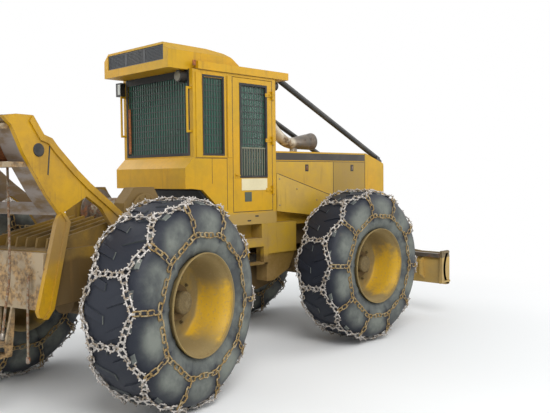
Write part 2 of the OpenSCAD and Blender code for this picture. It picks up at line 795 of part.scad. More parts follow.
// Blade
blade_low_z = -439;
blade_x = 3400;
module blade() {
  color(worn_yellow) front_half() {
    profile = [
      [blade_x + 60, blade_low_z], [blade_x + 130, blade_low_z], [blade_x + 70, blade_low_z + 90],
      [blade_x + 50, blade_low_z + 215], [blade_x + 70, blade_low_z + 340],
      [blade_x + 130, blade_low_z + blade_h], [blade_x + 90, blade_low_z + blade_h],
      [blade_x + 20, blade_low_z + 340], [blade_x, blade_low_z + 215], [blade_x + 20, blade_low_z + 90]
    ];
    slab(profile, -blade_half, blade_half);
    both_sides()
      slab([[blade_x - 60, blade_low_z + 20], [blade_front_x, blade_low_z], [blade_front_x, blade_low_z + 380],
            [blade_x + 140, blade_low_z + blade_h + 30], [blade_x - 40, blade_low_z + blade_h + 30]],
           blade_half - 30, blade_half);
    // Taller middle, stepped down to the sides
    cross_slab([[-blade_half + 1, blade_low_z + blade_h - 40], [-620, blade_low_z + blade_h + 20],
                [-560, blade_low_z + blade_mid_h], [560, blade_low_z + blade_mid_h],
                [620, blade_low_z + blade_h + 20], [blade_half - 1, blade_low_z + blade_h - 40]],
               blade_x + 88, blade_x + 128);
  }
}

lift_eye = [arm_pivot_x + 328, arm_pivot_z - 88];
arm_side = [
  [arm_pivot_x - 80, arm_pivot_z - 90], [arm_pivot_x + 60, arm_pivot_z - 120],
  [blade_x + 16, -330], [blade_x, -224], [blade_x + 11, -150], [arm_pivot_x + 80, arm_pivot_z + 40], [arm_pivot_x - 60, arm_pivot_z + 70]
];
module blade_arms() {
  color(worn_yellow) front_half() both_sides() {
    slab(arm_side, arm_y - arm_half_gap - arm_t, arm_y - arm_half_gap);
    slab(arm_side, arm_y + arm_half_gap, arm_y + arm_half_gap + arm_t);
    block([3100, arm_y - arm_half_gap - 1, -300], [blade_x, arm_y + arm_half_gap + 1, -180]);
    cyl_y(arm_pivot_x, arm_pivot_z, arm_pin_r, front_rail_y + 40, arm_y + arm_half_gap + arm_t + 15);
  }
}

gland_t = 40;
piston_t = 36;
// A cylinder's barrel along +x from its pin, its eye's axis along z
module barrel(r, length, eye_half, rod_r, pin_r, pin_low, pin_high) {
  difference() {
    union() {
      cyl_z(0, 0, r + 4, -eye_half, eye_half);
      rotate([0, 90, 0]) cylinder(r = r, h = length);
      cyl_z(0, 0, pin_r, -pin_low, pin_high);
    }
    translate([52, 0, 0]) rotate([0, 90, 0]) cylinder(r = r - 8, h = length - 52 - gland_t);
    translate([length - gland_t - 1, 0, 0]) rotate([0, 90, 0])
      cylinder(r = rod_r + fit_gap, h = gland_t + 2);
  }
}

// A rod along +x whose eye is at the origin and whose other end is inside the barrel
module rod(r, length, piston_r, eye_r, eye_half) {
  cyl_z(0, 0, eye_r, -eye_half, eye_half);
  translate([-length, 0, 0]) rotate([0, 90, 0]) cylinder(r = r, h = length);
  translate([-length, 0, 0]) rotate([0, 90, 0]) cylinder(r = piston_r, h = piston_t);
}

// Steering cylinders: front pin, rear eye at the angle that the machine stands at
function turned(p, a) = [p[0] * cos(a) - p[1] * sin(a), p[0] * sin(a) + p[1] * cos(a)];
function side_point(p, side) = [p[0], side * p[1]];
steer_barrel_len = 640;
steer_rod_len = 750;
module steer_axis(side) {
  a = side_point(steer_front, side);
  b = turned(side_point(steer_rear, side), steer);
  translate([a[0], a[1], steer_cyl_z]) rotate([0, 0, atan2(b[1] - a[1], b[0] - a[0])]) children();
}
function steer_reach(side) =
  norm(turned(side_point(steer_rear, side), steer) - side_point(steer_front, side));

module steer_barrel(side) {
  pin_end = steer_eye_half + run_gap + bracket_t;
  color(black) front_half() steer_axis(side)
    barrel(steer_barrel_r, steer_barrel_len, steer_eye_half, steer_rod_r, steer_pin_r, pin_end, pin_end);
}
module steer_rod(side) {
  color(steel) front_half() steer_axis(side)
    translate([steer_reach(side), 0, 0]) rod(steer_rod_r, steer_rod_len, steer_barrel_r - 8 - fit_gap, 42, steer_eye_half - 2);
}
module steer_barrel_right() { steer_barrel(right); }
module steer_barrel_left() { steer_barrel(left); }
module steer_rod_right() { steer_rod(right); }
module steer_rod_left() { steer_rod(left); }

// Lift cylinders: upper pin on the frame's tower, eye between the arm's two plates
lift_barrel_len = 470;
lift_rod_len = 535;
module lift_axis(side) {
  dx = lift_eye[0] - lift_top_x;
  dz = lift_eye[1] - lift_top_z;
  translate([lift_top_x, side * arm_y, lift_top_z])
    rotate([90, 0, 0]) rotate([0, 0, atan2(dz, dx)]) children();
}
lift_reach = norm([lift_eye[0] - lift_top_x, lift_eye[1] - lift_top_z]);
module lift_barrel(side) {
  pin_in = arm_y - front_rail_y - 22;
  color(black) front_half() lift_axis(side)
    barrel(lift_barrel_r, lift_barrel_len, lift_eye_half, lift_rod_r, lift_pin_r,
           side < 0 ? pin_in : 0, side < 0 ? 0 : pin_in);
}
module lift_rod(side) {
  color(steel) front_half() lift_axis(side)
    translate([lift_reach, 0, 0]) rod(lift_rod_r, lift_rod_len, lift_barrel_r - 8 - fit_gap, 36, 28);
}
module lift_barrel_right() { lift_barrel(right); }
module lift_barrel_left() { lift_barrel(left); }
module lift_rod_right() { lift_rod(right); }
module lift_rod_left() { lift_rod(left); }

// Rear frame
rear_wall_x = -480;
rear_tail_x = -2380;
module rear_frame() {
  color(worn_yellow) rear_half() {
    for (c = [pivot_top_z, pivot_low_z])
      difference() {
        translate([0, 0, c - tongue_t / 2])
          linear_extrude(tongue_t) {
            circle(r = pivot_eye_r);
            polygon([[0, -pivot_eye_r], [0, pivot_eye_r], [rear_wall_x, pivot_eye_r + 60],
                     [rear_wall_x, -pivot_eye_r - 60]]);
          }
        cyl_z(0, 0, pivot_pin_r + fit_gap, c - tongue_t, c + tongue_t);
      }
    block([rear_wall_x - 50, -rear_rail_y, pivot_low_z - 80], [rear_wall_x, rear_rail_y, rail_top_z]);
    both_sides() {
      slab([[rear_wall_x - 40, pivot_low_z - 80], [rear_wall_x - 40, rail_top_z], [rear_tail_x, rail_top_z],
            [rear_tail_x, 40], [rear_axle_x - 260, 40], [rear_axle_x - 200, axle_seat_z],
            [rear_axle_x + 200, axle_seat_z], [rear_axle_x + 300, pivot_low_z - 80]],
           rear_rail_y - rail_t, rear_rail_y);
      // Fork of the steering cylinder's rod
      for (z = [steer_cyl_z - steer_eye_half - run_gap - bracket_t, steer_cyl_z + steer_eye_half + run_gap])
        block([rear_wall_x - 1, steer_rear[1] - 70, z], [steer_rear[0] + 50, steer_rear[1] + 70, z + bracket_t]);
    }
    block([rear_tail_x, -rear_rail_y, 40], [rear_tail_x + 40, rear_rail_y, rail_top_z]);
    block([rear_tail_x, -rear_rail_y + 1, rail_top_z - 30], [rear_wall_x - 40, rear_rail_y - 1, rail_top_z]);
  }
}

// Arch: two side plates with a boom, a front leg and a rear leg
arch_points = [
  [-2800, 1511], [-2680, 1531], [-2530, 1531], [-2430, 1391], [-2350, 1366], [-2290, 1301],
  [-2090, 1121], [-1950, 1011], [-1690, 831], [-1590, 761], [-1250, 480], [-1250, 260], [-1420, 260],
  [-1820, 796], [-1990, 901], [-2240, 781], [-2180, 700], [-2370, 30], [-2435, -40], [-2500, -20],
  [-2520, 30], [-2320, 700], [-2280, 771], [-2410, 921], [-2620, 1241], [-2720, 1441]
];
module arch() {
  color(yellow) rear_half() {
    difference() {
      both_sides() slab(arch_points, rear_rail_y, rear_rail_y + arch_t);
      cyl_y(top_roller[0], top_roller[1], top_pin_r + fit_gap, -600, 600);
    }
    // Top skin between the plates
    slab([[-2530, 1531], [-2430, 1391], [-2350, 1366], [-2290, 1301], [-2290, 1271], [-2360, 1336],
          [-2440, 1361], [-2540, 1501], [-2680, 1501], [-2680, 1531]], -rear_rail_y, rear_rail_y);
    block([-2290, -rear_rail_y, 760], [-2240, rear_rail_y, 860]);
  }
}

drum_at = [-1150, 720];
winch_side_y = 250;
module winch_case() {
  color(worn_yellow) rear_half() {
    both_sides()
      difference() {
        slab([[-900, rail_top_z], [-900, 820], [-1000, 960], [-1280, 960], [-1420, 820], [-1420, rail_top_z]],
             winch_side_y, winch_side_y + 120);
        cyl_y(drum_at[0], drum_at[1], 60 + fit_gap, winch_side_y - 1, winch_side_y + 60);
      }
    block([-901, -winch_side_y - 100, rail_top_z], [-860, winch_side_y + 100, 800]);
  }
}

module winch_drum() {
  color(steel) rear_half() {
    cyl_y(drum_at[0], drum_at[1], drum_r, -drum_half, drum_half);
    cyl_y(drum_at[0], drum_at[1], 60, -winch_side_y - 50, winch_side_y + 50);
    for (y = [-drum_half - 20, drum_half])
      cyl_y(drum_at[0], drum_at[1], drum_flange_r, y, y + 20);
  }
}

hitch_pin_r = 25;
hitch_at = [rear_tail_x - 300, -330];
module butt_plate() {
  x = rear_tail_x;
  color(worn_yellow) rear_half() {
    slab([[x, 40], [x, 470], [x - 40, 470], [x - 70, -80], [x - 30, -80]], -rear_rail_y + 5, rear_rail_y - 5);
    slab([[x - 30, -79], [x - 70, -79], [x - 80, -300], [x - 200, -420], [x - 170, -450], [x - 40, -330]],
         -560, 560);
    // Hitch: two plates with one hole for a drawbar's pin
    difference() {
      for (z = [-30, 60])
        block([hitch_at[0], -90, hitch_at[1] + z - 10], [x - 75, 90, hitch_at[1] + z + 10]);
      cyl_z(hitch_at[0] + 60, 0, hitch_pin_r, -500, -200);
    }
  }
}

// Fairlead at the arch's head
head_x = [-2760, -2480];
roller_at = [-2680, 150];
roller_pin_r = 25;
top_roller = [-2480, 1270];
top_pin_r = 30;
module fairlead_frame() {
  color(worn_yellow) rear_half() {
    difference() {
      union() {
        block([head_x[0], -rear_rail_y, 1140], [head_x[1], rear_rail_y, 1180]);
        block([head_x[0], -rear_rail_y, 1420], [-2560, rear_rail_y, 1460]);
      }
      for (y = [-1, 1]) cyl_z(roller_at[0], y * roller_at[1], roller_pin_r + fit_gap, 1100, 1500);
    }
  }
}

module roller_side(side) {
  color(steel) rear_half() {
    cyl_z(roller_at[0], side * roller_at[1], roller_r, 1180 + run_gap, 1420 - run_gap);
    cyl_z(roller_at[0], side * roller_at[1], roller_pin_r, 1140, 1460);
  }
}
module roller_left() { roller_side(left); }
module roller_right() { roller_side(right); }
module roller_top() {
  color(steel) rear_half() {
    cyl_y(top_roller[0], top_roller[1], 80, -rear_rail_y + 8, rear_rail_y - 8);
    cyl_y(top_roller[0], top_roller[1], top_pin_r, -rear_rail_y - arch_t, rear_rail_y + arch_t);
  }
}

front_frame();
front_axle();
engine_block();
hood();
side_panels();
lower_covers();
grille();
exhaust();
limb_risers();
cab_frame();
cab_walls();
cab_floor();
cab_roof();
roof_louvre();
cab_glass();
window_guards();
seat();
console();
tanks();
steps();
lamps();
grab_handles();
pivot_pins();
rear_frame();
rear_axle();
arch();
winch_case();
butt_plate();
fairlead_frame();
winch_drum();
roller_top();
roller_left();
roller_right();
door_right();
door_left();
door_screen_right();
door_screen_left();
blade();
blade_arms();
lift_barrel_right();
lift_barrel_left();
lift_rod_right();
lift_rod_left();
steer_barrel_right();
steer_barrel_left();
steer_rod_right();
steer_rod_left();
rim_front_right();
rim_front_left();
rim_rear_right();
rim_rear_left();
tyre_front_right();
tyre_front_left();
tyre_rear_right();
tyre_rear_left();
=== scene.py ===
"""An articulated cable skidder with chained tyres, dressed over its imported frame."""

import logging
import math
import random
from dataclasses import dataclass, field
from enum import Enum
from typing import Iterable, Sequence

import bmesh
import bpy
from mathutils import Matrix, Vector


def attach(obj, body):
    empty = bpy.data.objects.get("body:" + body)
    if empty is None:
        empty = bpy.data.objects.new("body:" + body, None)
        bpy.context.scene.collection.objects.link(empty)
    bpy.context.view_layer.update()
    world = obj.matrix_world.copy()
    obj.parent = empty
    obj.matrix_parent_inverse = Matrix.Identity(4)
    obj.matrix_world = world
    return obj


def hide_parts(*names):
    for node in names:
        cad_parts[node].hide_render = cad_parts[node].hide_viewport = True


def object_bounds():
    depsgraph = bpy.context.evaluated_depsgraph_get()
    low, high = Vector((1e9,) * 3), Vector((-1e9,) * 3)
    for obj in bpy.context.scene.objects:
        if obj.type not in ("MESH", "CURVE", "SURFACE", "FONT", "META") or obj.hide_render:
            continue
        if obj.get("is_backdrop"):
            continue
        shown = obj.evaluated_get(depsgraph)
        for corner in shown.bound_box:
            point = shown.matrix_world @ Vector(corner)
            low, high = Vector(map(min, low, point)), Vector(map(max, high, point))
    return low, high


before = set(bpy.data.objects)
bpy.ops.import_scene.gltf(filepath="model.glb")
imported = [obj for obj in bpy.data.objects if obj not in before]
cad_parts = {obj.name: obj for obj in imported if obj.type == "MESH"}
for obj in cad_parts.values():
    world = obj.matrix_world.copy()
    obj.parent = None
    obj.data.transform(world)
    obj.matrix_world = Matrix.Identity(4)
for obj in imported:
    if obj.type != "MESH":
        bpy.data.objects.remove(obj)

LOG = logging.getLogger("skidder")
CAD_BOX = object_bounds()
Point = tuple[float, float, float]
Colour = tuple[float, float, float]
Pair = tuple[float, float]
Outline = Sequence[Pair]
Route = Sequence[Sequence[float]]
Socket = bpy.types.NodeSocket
Node = bpy.types.Node
Group = bpy.types.NodeTree
Ring = list[bmesh.types.BMVert]
Span = tuple[Pair, Pair]


# Where things are

@dataclass(frozen=True)
class Stand:
    """Where the steering pivot stands in the row frame, in metres.

    Attributes:
        x: Place of the pivot along the front half.
        y: Place of the pivot to the left.
        axle_z: Height of the axles.
        steer: Angle of the rear half in degrees.
    """

    x: float = -0.365587
    y: float = 0.269949
    axle_z: float = 0.904
    steer: float = 15.0


STAND = Stand()


class Half(Enum):
    """The two halves of the frame that the steering pivot joins."""

    FRONT = 0.0
    REAR = STAND.steer

    @property
    def matrix(self) -> Matrix:
        """Takes a point measured from the pivot to the row frame."""
        turn = Matrix.Rotation(math.radians(self.value), 4, "Z")
        return Matrix.Translation((STAND.x, STAND.y, STAND.axle_z)) @ turn


class Side(Enum):
    """The machine's sides, by the sign of y."""

    RIGHT = -1
    LEFT = 1

    @property
    def word(self) -> str:
        """The side's name in node names."""
        return self.name.lower()


def shade(red: int, green: int, blue: int) -> Colour:
    """Turns a colour of 0 to 255 into linear light.

    Args:
        red: Red as a screen shows it.
        green: Green as a screen shows it.
        blue: Blue as a screen shows it.

    Returns:
        The colour's three linear parts.
    """
    def linear(value: int) -> float:
        """Turns one part."""
        part = value / 255.0
        return part / 12.92 if part <= 0.04045 else ((part + 0.055) / 1.055) ** 2.4
    return linear(red), linear(green), linear(blue)


# Node trees

class Tree:
    """A short hand for building a node tree."""

    def __init__(self, tree: Group) -> None:
        """Keeps the tree that the nodes go into."""
        self.tree = tree

    def node(self, kind: str, settings: dict | None = None, inputs: dict | None = None) -> Node:
        """Adds a node.

        Args:
            kind: The node's type name.
            settings: Properties of the node.
            inputs: Values or output sockets by input name or number.

        Returns:
            The new node.
        """
        made = self.tree.nodes.new(kind)
        for key, value in (settings or {}).items():
            setattr(made, key, value)
        for key, value in (inputs or {}).items():
            self.feed(made.inputs[key], value)
        return made

    def feed(self, socket: Socket, value: object) -> None:
        """Links an output to a socket or sets the socket's value.

        Args:
            socket: The input.
            value: An output socket, a colour or a plain value.
        """
        if isinstance(value, Socket):
            self.tree.links.new(value, socket)
        elif isinstance(value, tuple) and len(value) == 3 and socket.type == "RGBA":
            socket.default_value = (*value, 1.0)
        else:
            socket.default_value = value

    def maths(self, operation: str, a: object, b: object = 0.0, clamp: bool = False) -> Socket:
        """Adds one sum of two values."""
        made = self.node("ShaderNodeMath", {"operation": operation, "use_clamp": clamp}, {0: a, 1: b})
        return made.outputs[0]

    def times(self, a: object, b: object, clamp: bool = False) -> Socket:
        """Multiplies two values."""
        return self.maths("MULTIPLY", a, b, clamp)

    def plus(self, a: object, b: object) -> Socket:
        """Adds two values."""
        return self.maths("ADD", a, b)

    def minus(self, a: object, b: object) -> Socket:
        """Takes the second value from the first."""
        return self.maths("SUBTRACT", a, b)

    def vector(self, operation: str, a: object, b: object = (0.0, 0.0, 0.0)) -> Node:
        """Adds one sum of two places."""
        return self.node("ShaderNodeVectorMath", {"operation": operation}, {0: a, 1: b})

    def part(self, place: object, number: int) -> Socket:
        """Gives one of a place's three parts."""
        return self.node("ShaderNodeSeparateXYZ", None, {0: place}).outputs[number]

    def spread(self, value: object, low: float, high: float, a: float = 0.0, b: float = 1.0) -> Socket:
        """Maps a value from low..high to a..b, smoothly and within those ends."""
        ends = {"Value": value, "From Min": low, "From Max": high, "To Min": a, "To Max": b}
        return self.node("ShaderNodeMapRange", {"interpolation_type": "SMOOTHSTEP"}, ends).outputs[0]

    def mix(self, factor: object, a: object, b: object) -> Socket:
        """Mixes two colours."""
        return self.node("ShaderNodeMix", {"data_type": "RGBA"}, {0: factor, 6: a, 7: b}).outputs[2]

    def noise(self, place: object, scale: object, detail: float = 4.0, rough: float = 0.55) -> Socket:
        """Adds a cloud noise and gives its value."""
        made = self.node("ShaderNodeTexNoise", None,
                         {"Vector": place, "Scale": scale, "Detail": detail, "Roughness": rough})
        return made.outputs[0]

    def stretch(self, place: object, scale: Point) -> Socket:
        """Scales a place along each axis."""
        return self.vector("MULTIPLY", place, scale).outputs[0]


def new_group(name: str, inputs: dict[str, float],
              outputs: Iterable[str] = ("Mask",)) -> tuple[Group, Tree, dict, Node]:
    """Makes an empty shader group that starts from a place.

    Args:
        name: The group's name.
        inputs: Default values by input name.
        outputs: Names of its outputs, of which Color is a colour.

    Returns:
        The group, its tree helper, its input sockets by name and its output node.
    """
    group = bpy.data.node_groups.new(name, "ShaderNodeTree")
    group.interface.new_socket("Place", in_out="INPUT", socket_type="NodeSocketVector")
    for title, value in inputs.items():
        made = group.interface.new_socket(title, in_out="INPUT", socket_type="NodeSocketFloat")
        made.default_value = value
    for title in outputs:
        kind = "NodeSocketColor" if title == "Color" else "NodeSocketFloat"
        group.interface.new_socket(title, in_out="OUTPUT", socket_type=kind)
    tree = Tree(group)
    start = tree.node("NodeGroupInput")
    end = tree.node("NodeGroupOutput")
    return group, tree, {s.name: s for s in start.outputs}, end


@dataclass
class Effects:
    """Shader groups that several finishes share, each built once.

    Attributes:
        made: The groups built so far.
    """

    made: dict[str, Group] = field(default_factory=dict)

    def get(self, name: str) -> Group:
        """Gives a group by name and builds it the first time.

        Args:
            name: The group's name.

        Returns:
            The group.
        """
        if name not in self.made:
            self.made[name] = getattr(self, "_" + name)()
        return self.made[name]

    def _edge_wear(self) -> Group:
        """Mask of worn edges, broken up by a fine noise.

        Returns:
            The group.
        """
        group, t, i, end = new_group("edge_wear", {"Width": 0.006, "Amount": 0.5})
        soft = t.node("ShaderNodeBevel", {"samples": 4}, {"Radius": i["Width"]})
        sharp = t.node("ShaderNodeNewGeometry")
        dot = t.vector("DOT_PRODUCT", soft.outputs[0], sharp.outputs["Normal"])
        bend = t.minus(1.0, dot.outputs["Value"])
        edge = t.spread(bend, 0.02, 0.12)
        chips = t.spread(t.noise(i["Place"], 24.0, 6.0, 0.7), 0.46, 0.62)
        t.feed(end.inputs["Mask"], t.times(t.times(edge, chips), i["Amount"], True))
        return group

    def _dirt(self) -> Group:
        """Mask of dust and mud: on ledges, towards the ground, and in clouds.

        Returns:
            The group.
        """
        group, t, i, end = new_group("dirt", {"Amount": 0.4, "Low": 0.3, "High": 1.8})
        low = t.spread(t.part(i["Place"], 2), i["High"], i["Low"])
        up = t.part(t.node("ShaderNodeNewGeometry").outputs["Normal"], 2)
        ledge = t.spread(up, 0.35, 0.95, 0.0, 0.55)
        cloud = t.noise(i["Place"], 2.6, 7.0, 0.62)
        fine = t.noise(i["Place"], 38.0, 3.0, 0.6)
        both = t.plus(t.times(low, 0.75), ledge)
        both = t.plus(both, t.spread(cloud, 0.42, 0.68, -0.15, 0.45))
        both = t.plus(both, t.spread(fine, 0.35, 0.7, -0.12, 0.12))
        t.feed(end.inputs["Mask"], t.times(both, i["Amount"], True))
        return group

    def _streaks(self) -> Group:
        """Mask of thin runs that go down a wall.

        Returns:
            The group.
        """
        group, t, i, end = new_group("streaks", {"Amount": 0.4})
        runs = t.noise(t.stretch(i["Place"], (17.0, 17.0, 1.4)), 1.0, 5.0, 0.6)
        patch = t.noise(i["Place"], 1.9, 2.0, 0.5)
        both = t.times(t.spread(runs, 0.54, 0.72), t.spread(patch, 0.42, 0.62))
        t.feed(end.inputs["Mask"], t.times(both, i["Amount"], True))
        return group

    def _rust_spots(self) -> Group:
        """Mask of rust spots and the colour that they have.

        Returns:
            The group.
        """
        group, t, i, end = new_group("rust_spots", {"Amount": 0.3, "Scale": 9.0}, ("Mask", "Color"))
        big = t.noise(i["Place"], i["Scale"], 8.0, 0.68)
        level = t.minus(0.86, t.times(i["Amount"], 0.42))
        gap = t.minus(big, level)
        t.feed(end.inputs["Mask"], t.spread(gap, 0.0, 0.05))
        tone = t.noise(i["Place"], 60.0, 4.0, 0.6)
        t.feed(end.inputs["Color"], t.mix(t.spread(tone, 0.35, 0.65), shade(92, 46, 24), shade(158, 84, 40)))
        return group

    def _across_rear(self) -> Group:
        """Distance of a place from the rear half's middle plane.

        Returns:
            The group.
        """
        group, t, i, end = new_group("across_rear", {}, ("Distance",))
        angle = math.radians(STAND.steer)
        across = (-math.sin(angle), math.cos(angle), 0.0)
        dot = t.vector("DOT_PRODUCT", i["Place"], across)
        pivot = STAND.x * across[0] + STAND.y * across[1]
        t.feed(end.inputs["Distance"], t.maths("ABSOLUTE", t.minus(dot.outputs["Value"], pivot)))
        return group


EFFECTS = Effects()


# Finishes

class Coat(Tree):
    """The node tree of one material, with its shader and the place that is shaded."""

    def __init__(self, material: bpy.types.Material) -> None:
        """Starts the material's tree with a plain shader.

        Args:
            material: The material.
        """
        super().__init__(material.node_tree)
        self.tree.nodes.clear()
        self.shader = self.node("ShaderNodeBsdfPrincipled")
        end = self.node("ShaderNodeOutputMaterial")
        self.feed(end.inputs[0], self.shader.outputs[0])
        self.place = self.node("ShaderNodeTexCoord").outputs["Object"]

    def give(self, name: str, value: object) -> None:
        """Feeds one of the shader's inputs."""
        self.feed(self.shader.inputs[name], value)

    def given(self, name: str) -> Socket:
        """Gives what feeds one of the shader's inputs."""
        return self.shader.inputs[name].links[0].from_socket

    def cloud(self, scale: float, detail: float = 4.0, rough: float = 0.55) -> Socket:
        """Adds a cloud noise at the shaded place."""
        return self.noise(self.place, scale, detail, rough)

    def effect(self, name: str, inputs: dict[str, float]) -> Node:
        """Adds a shared shader group at the shaded place."""
        return self.node("ShaderNodeGroup", {"node_tree": EFFECTS.get(name)}, {"Place": self.place, **inputs})

    def bump(self, height: object, strength: float, distance: float) -> None:
        """Raises the surface by a height."""
        made = self.node("ShaderNodeBump", None,
                         {"Strength": strength, "Distance": distance, "Height": height})
        self.give("Normal", made.outputs[0])


@dataclass(frozen=True)
class Finish:
    """A material of this machine, made once for each name.

    Attributes:
        name: The material's name.
    """

    name: str

    def material(self) -> bpy.types.Material:
        """Gives the finish's material.

        Returns:
            The material.
        """
        found = bpy.data.materials.get(self.name)
        if found is not None and found.get("dressed"):
            return found
        made = bpy.data.materials.new(self.name)
        made.use_nodes = True
        made["dressed"] = True
        self.lay(Coat(made))
        return made

    def lay(self, t: Coat) -> None:
        """Lays the finish over the plain shader of a material's tree."""
        raise NotImplementedError


@dataclass(frozen=True)
class Paint(Finish):
    """Weathered paint on steel.

    Attributes:
        colour: The clean paint.
        faded: The paint where the sun has bleached it.
        dust: The dirt that lies on it.
        dirt: How much dirt there is.
        reach: Height up to which the dirt climbs, in metres.
        wear: How much the edges are worn.
        rust: How much of it has rusted through.
        gloss: Roughness of the clean paint.
        dull_from: Place along the front half from which the paint is brown with engine heat.
        dirt_and_shade_below: Height over the axles under which the paint is covered: by pale dust on the cab,
            by dark mud and painted shadow under the steps, tanks and frame.
        mud: Colour of that cover, dark brown by default for mud and painted shadow.
    """

    colour: Colour
    faded: Colour
    dust: Colour = shade(150, 122, 78)
    dirt: float = 0.45
    reach: float = 1.7
    wear: float = 0.7
    rust: float = 0.25
    gloss: float = 0.42
    dull_from: float = 9.0
    dirt_and_shade_below: float = -9.0
    # Dark brown by default, for mud and painted shadow under the machine.
    mud: Colour = shade(84, 64, 36)

    def lay(self, t: Coat) -> None:
        """Lays paint, fading, streaks, dirt, worn edges and rust, and the mud colour on low parts, which
        under the machine also paints their shadow.

        Args:
            t: The material's tree.
        """
        fade = t.spread(t.cloud(1.3, 3.0, 0.5), 0.38, 0.66)
        colour = t.mix(fade, self.colour, self.faded)
        mottle = t.spread(t.cloud(11.0, 5.0, 0.6), 0.3, 0.7, 0.0, 0.22)
        colour = t.mix(mottle, colour, self.dust)
        split = t.node("ShaderNodeSeparateXYZ", None, {0: t.place}).outputs
        heat = STAND.x + self.dull_from
        dull = t.spread(split[0], heat - 0.01, heat, 0.0, 0.5)
        colour = t.mix(dull, colour, shade(120, 98, 46))
        # Below this height the mud colour covers the paint: pale dust on the cab, dark mud and painted shadow
        # under the steps, tanks and frame.
        edge = STAND.axle_z + self.dirt_and_shade_below
        dirt_and_shade_line = t.plus(split[2], t.times(t.cloud(5.0, 6.0, 0.6), 0.10))
        colour = t.mix(t.spread(dirt_and_shade_line, edge + 0.02, edge + 0.07, 0.8, 0.0), colour, self.mud)
        runs = t.effect("streaks", {"Amount": self.dirt}).outputs[0]
        colour = t.mix(runs, colour, shade(112, 84, 44))
        dirt = t.effect("dirt", {"Amount": self.dirt, "Low": 0.1, "High": self.reach})
        colour = t.mix(dirt.outputs[0], colour, self.dust)
        rust = t.effect("rust_spots", {"Amount": self.rust, "Scale": 7.0})
        colour = t.mix(rust.outputs["Mask"], colour, rust.outputs["Color"])
        worn = t.effect("edge_wear", {"Width": 0.007, "Amount": self.wear}).outputs[0]
        colour = t.mix(worn, colour, shade(96, 74, 56))
        t.give("Base Color", colour)
        rough = t.maths("MAXIMUM", t.times(dirt.outputs[0], 0.9), rust.outputs["Mask"])
        rough = t.spread(rough, 0.0, 1.0, self.gloss, 0.9)
        t.give("Roughness", rough)
        t.give("Metallic", 0.0)
        t.give("Specular IOR Level", 0.28)
        height = t.plus(t.times(dirt.outputs[0], 0.5), t.cloud(90.0, 3.0, 0.6))
        t.bump(t.minus(height, t.times(worn, 0.6)), 0.25, 0.003)


@dataclass(frozen=True)
class ArchPaint(Paint):
    """Paint of the arch, which ropes and logs have rubbed to bare steel on its inner faces.

    Attributes:
        inner: Distance of the plates' inner faces from the middle plane.
    """

    inner: float = 0.441

    def lay(self, t: Coat) -> None:
        """Lays the paint and the bare steel within the plates.

        Args:
            t: The material's tree.
        """
        super().lay(t)
        painted = t.given("Base Color")
        away = t.effect("across_rear", {}).outputs[0]
        bare = t.spread(away, self.inner, self.inner + 0.002, 1.0, 0.0)
        scrape = t.spread(t.noise(t.stretch(t.place, (3.0, 3.0, 9.0)), 1.0, 6.0, 0.62), 0.4, 0.6)
        steel = t.mix(scrape, shade(126, 116, 108), shade(104, 82, 52))
        high = t.plus(t.part(t.place, 2), t.times(t.cloud(4.0, 6.0, 0.65), 0.3))
        rubbed = t.times(t.spread(high, STAND.axle_z + 0.38, STAND.axle_z + 0.62, 0.0, 0.75),
                         t.spread(high, STAND.axle_z + 0.84, STAND.axle_z + 0.92, 1.0, 0.0))
        painted = t.mix(rubbed, painted, shade(138, 112, 72))
        t.give("Base Color", t.mix(bare, painted, steel))


@dataclass(frozen=True)
class BladePaint(Paint):
    """Paint of the blade, worn dark along its top beam.

    Attributes:
        beam: Height from which the steel is dark.
    """

    beam: float = STAND.axle_z - 0.075

    def lay(self, t: Coat) -> None:
        """Lays the paint and the dark band.

        Args:
            t: The material's tree.
        """
        super().lay(t)
        painted = t.given("Base Color")
        high = t.part(t.place, 2)
        band = t.spread(high, self.beam, self.beam + 0.012)
        t.give("Base Color", t.mix(t.times(band, 0.7), painted, shade(74, 72, 68)))


@dataclass(frozen=True)
class WheelPaint(Finish):
    """Paint of the rims: bright in a painted highlight on the lower front of the dish, brown with dust
    elsewhere.

    Attributes:
        colour: The clean paint.
        dust: The dust that lies on it.
    """

    colour: Colour = shade(204, 160, 40)
    dust: Colour = shade(136, 117, 76)

    def lay(self, t: Coat) -> None:
        """Lays paint with broad dust and worn edges, and a painted highlight on the lower front of the dish,
        where light falls.

        Args:
            t: The material's tree.
        """
        cloud = t.spread(t.cloud(3.4, 6.0, 0.6), 0.34, 0.58)
        # Painted highlight: the layer read here is high on the lower front of the dish, where light falls,
        # and keeps the paint clean and bright there; elsewhere the paint takes the dust colour.
        wiped = t.node("ShaderNodeAttribute", {"attribute_name": "wiped"}).outputs["Fac"]
        bare = t.plus(wiped, t.times(t.minus(0.5, cloud), 0.4))
        dust = t.spread(bare, 0.15, 0.8, 1.0, 0.0)
        colour = t.mix(dust, self.colour, self.dust)
        specks = t.spread(t.cloud(46.0, 5.0, 0.65), 0.5, 0.72, 0.0, 0.6)
        colour = t.mix(specks, colour, shade(150, 128, 92))
        rust = t.effect("rust_spots", {"Amount": 0.3, "Scale": 12.0})
        colour = t.mix(rust.outputs["Mask"], colour, rust.outputs["Color"])
        worn = t.effect("edge_wear", {"Width": 0.008, "Amount": 0.9}).outputs[0]
        colour = t.mix(worn, colour, shade(118, 84, 52))
        t.give("Base Color", colour)
        t.give("Roughness", t.spread(dust, 0.0, 1.0, 0.5, 0.9))
        t.give("Specular IOR Level", 0.3)
        t.bump(t.cloud(70.0, 4.0, 0.6), 0.25, 0.003)


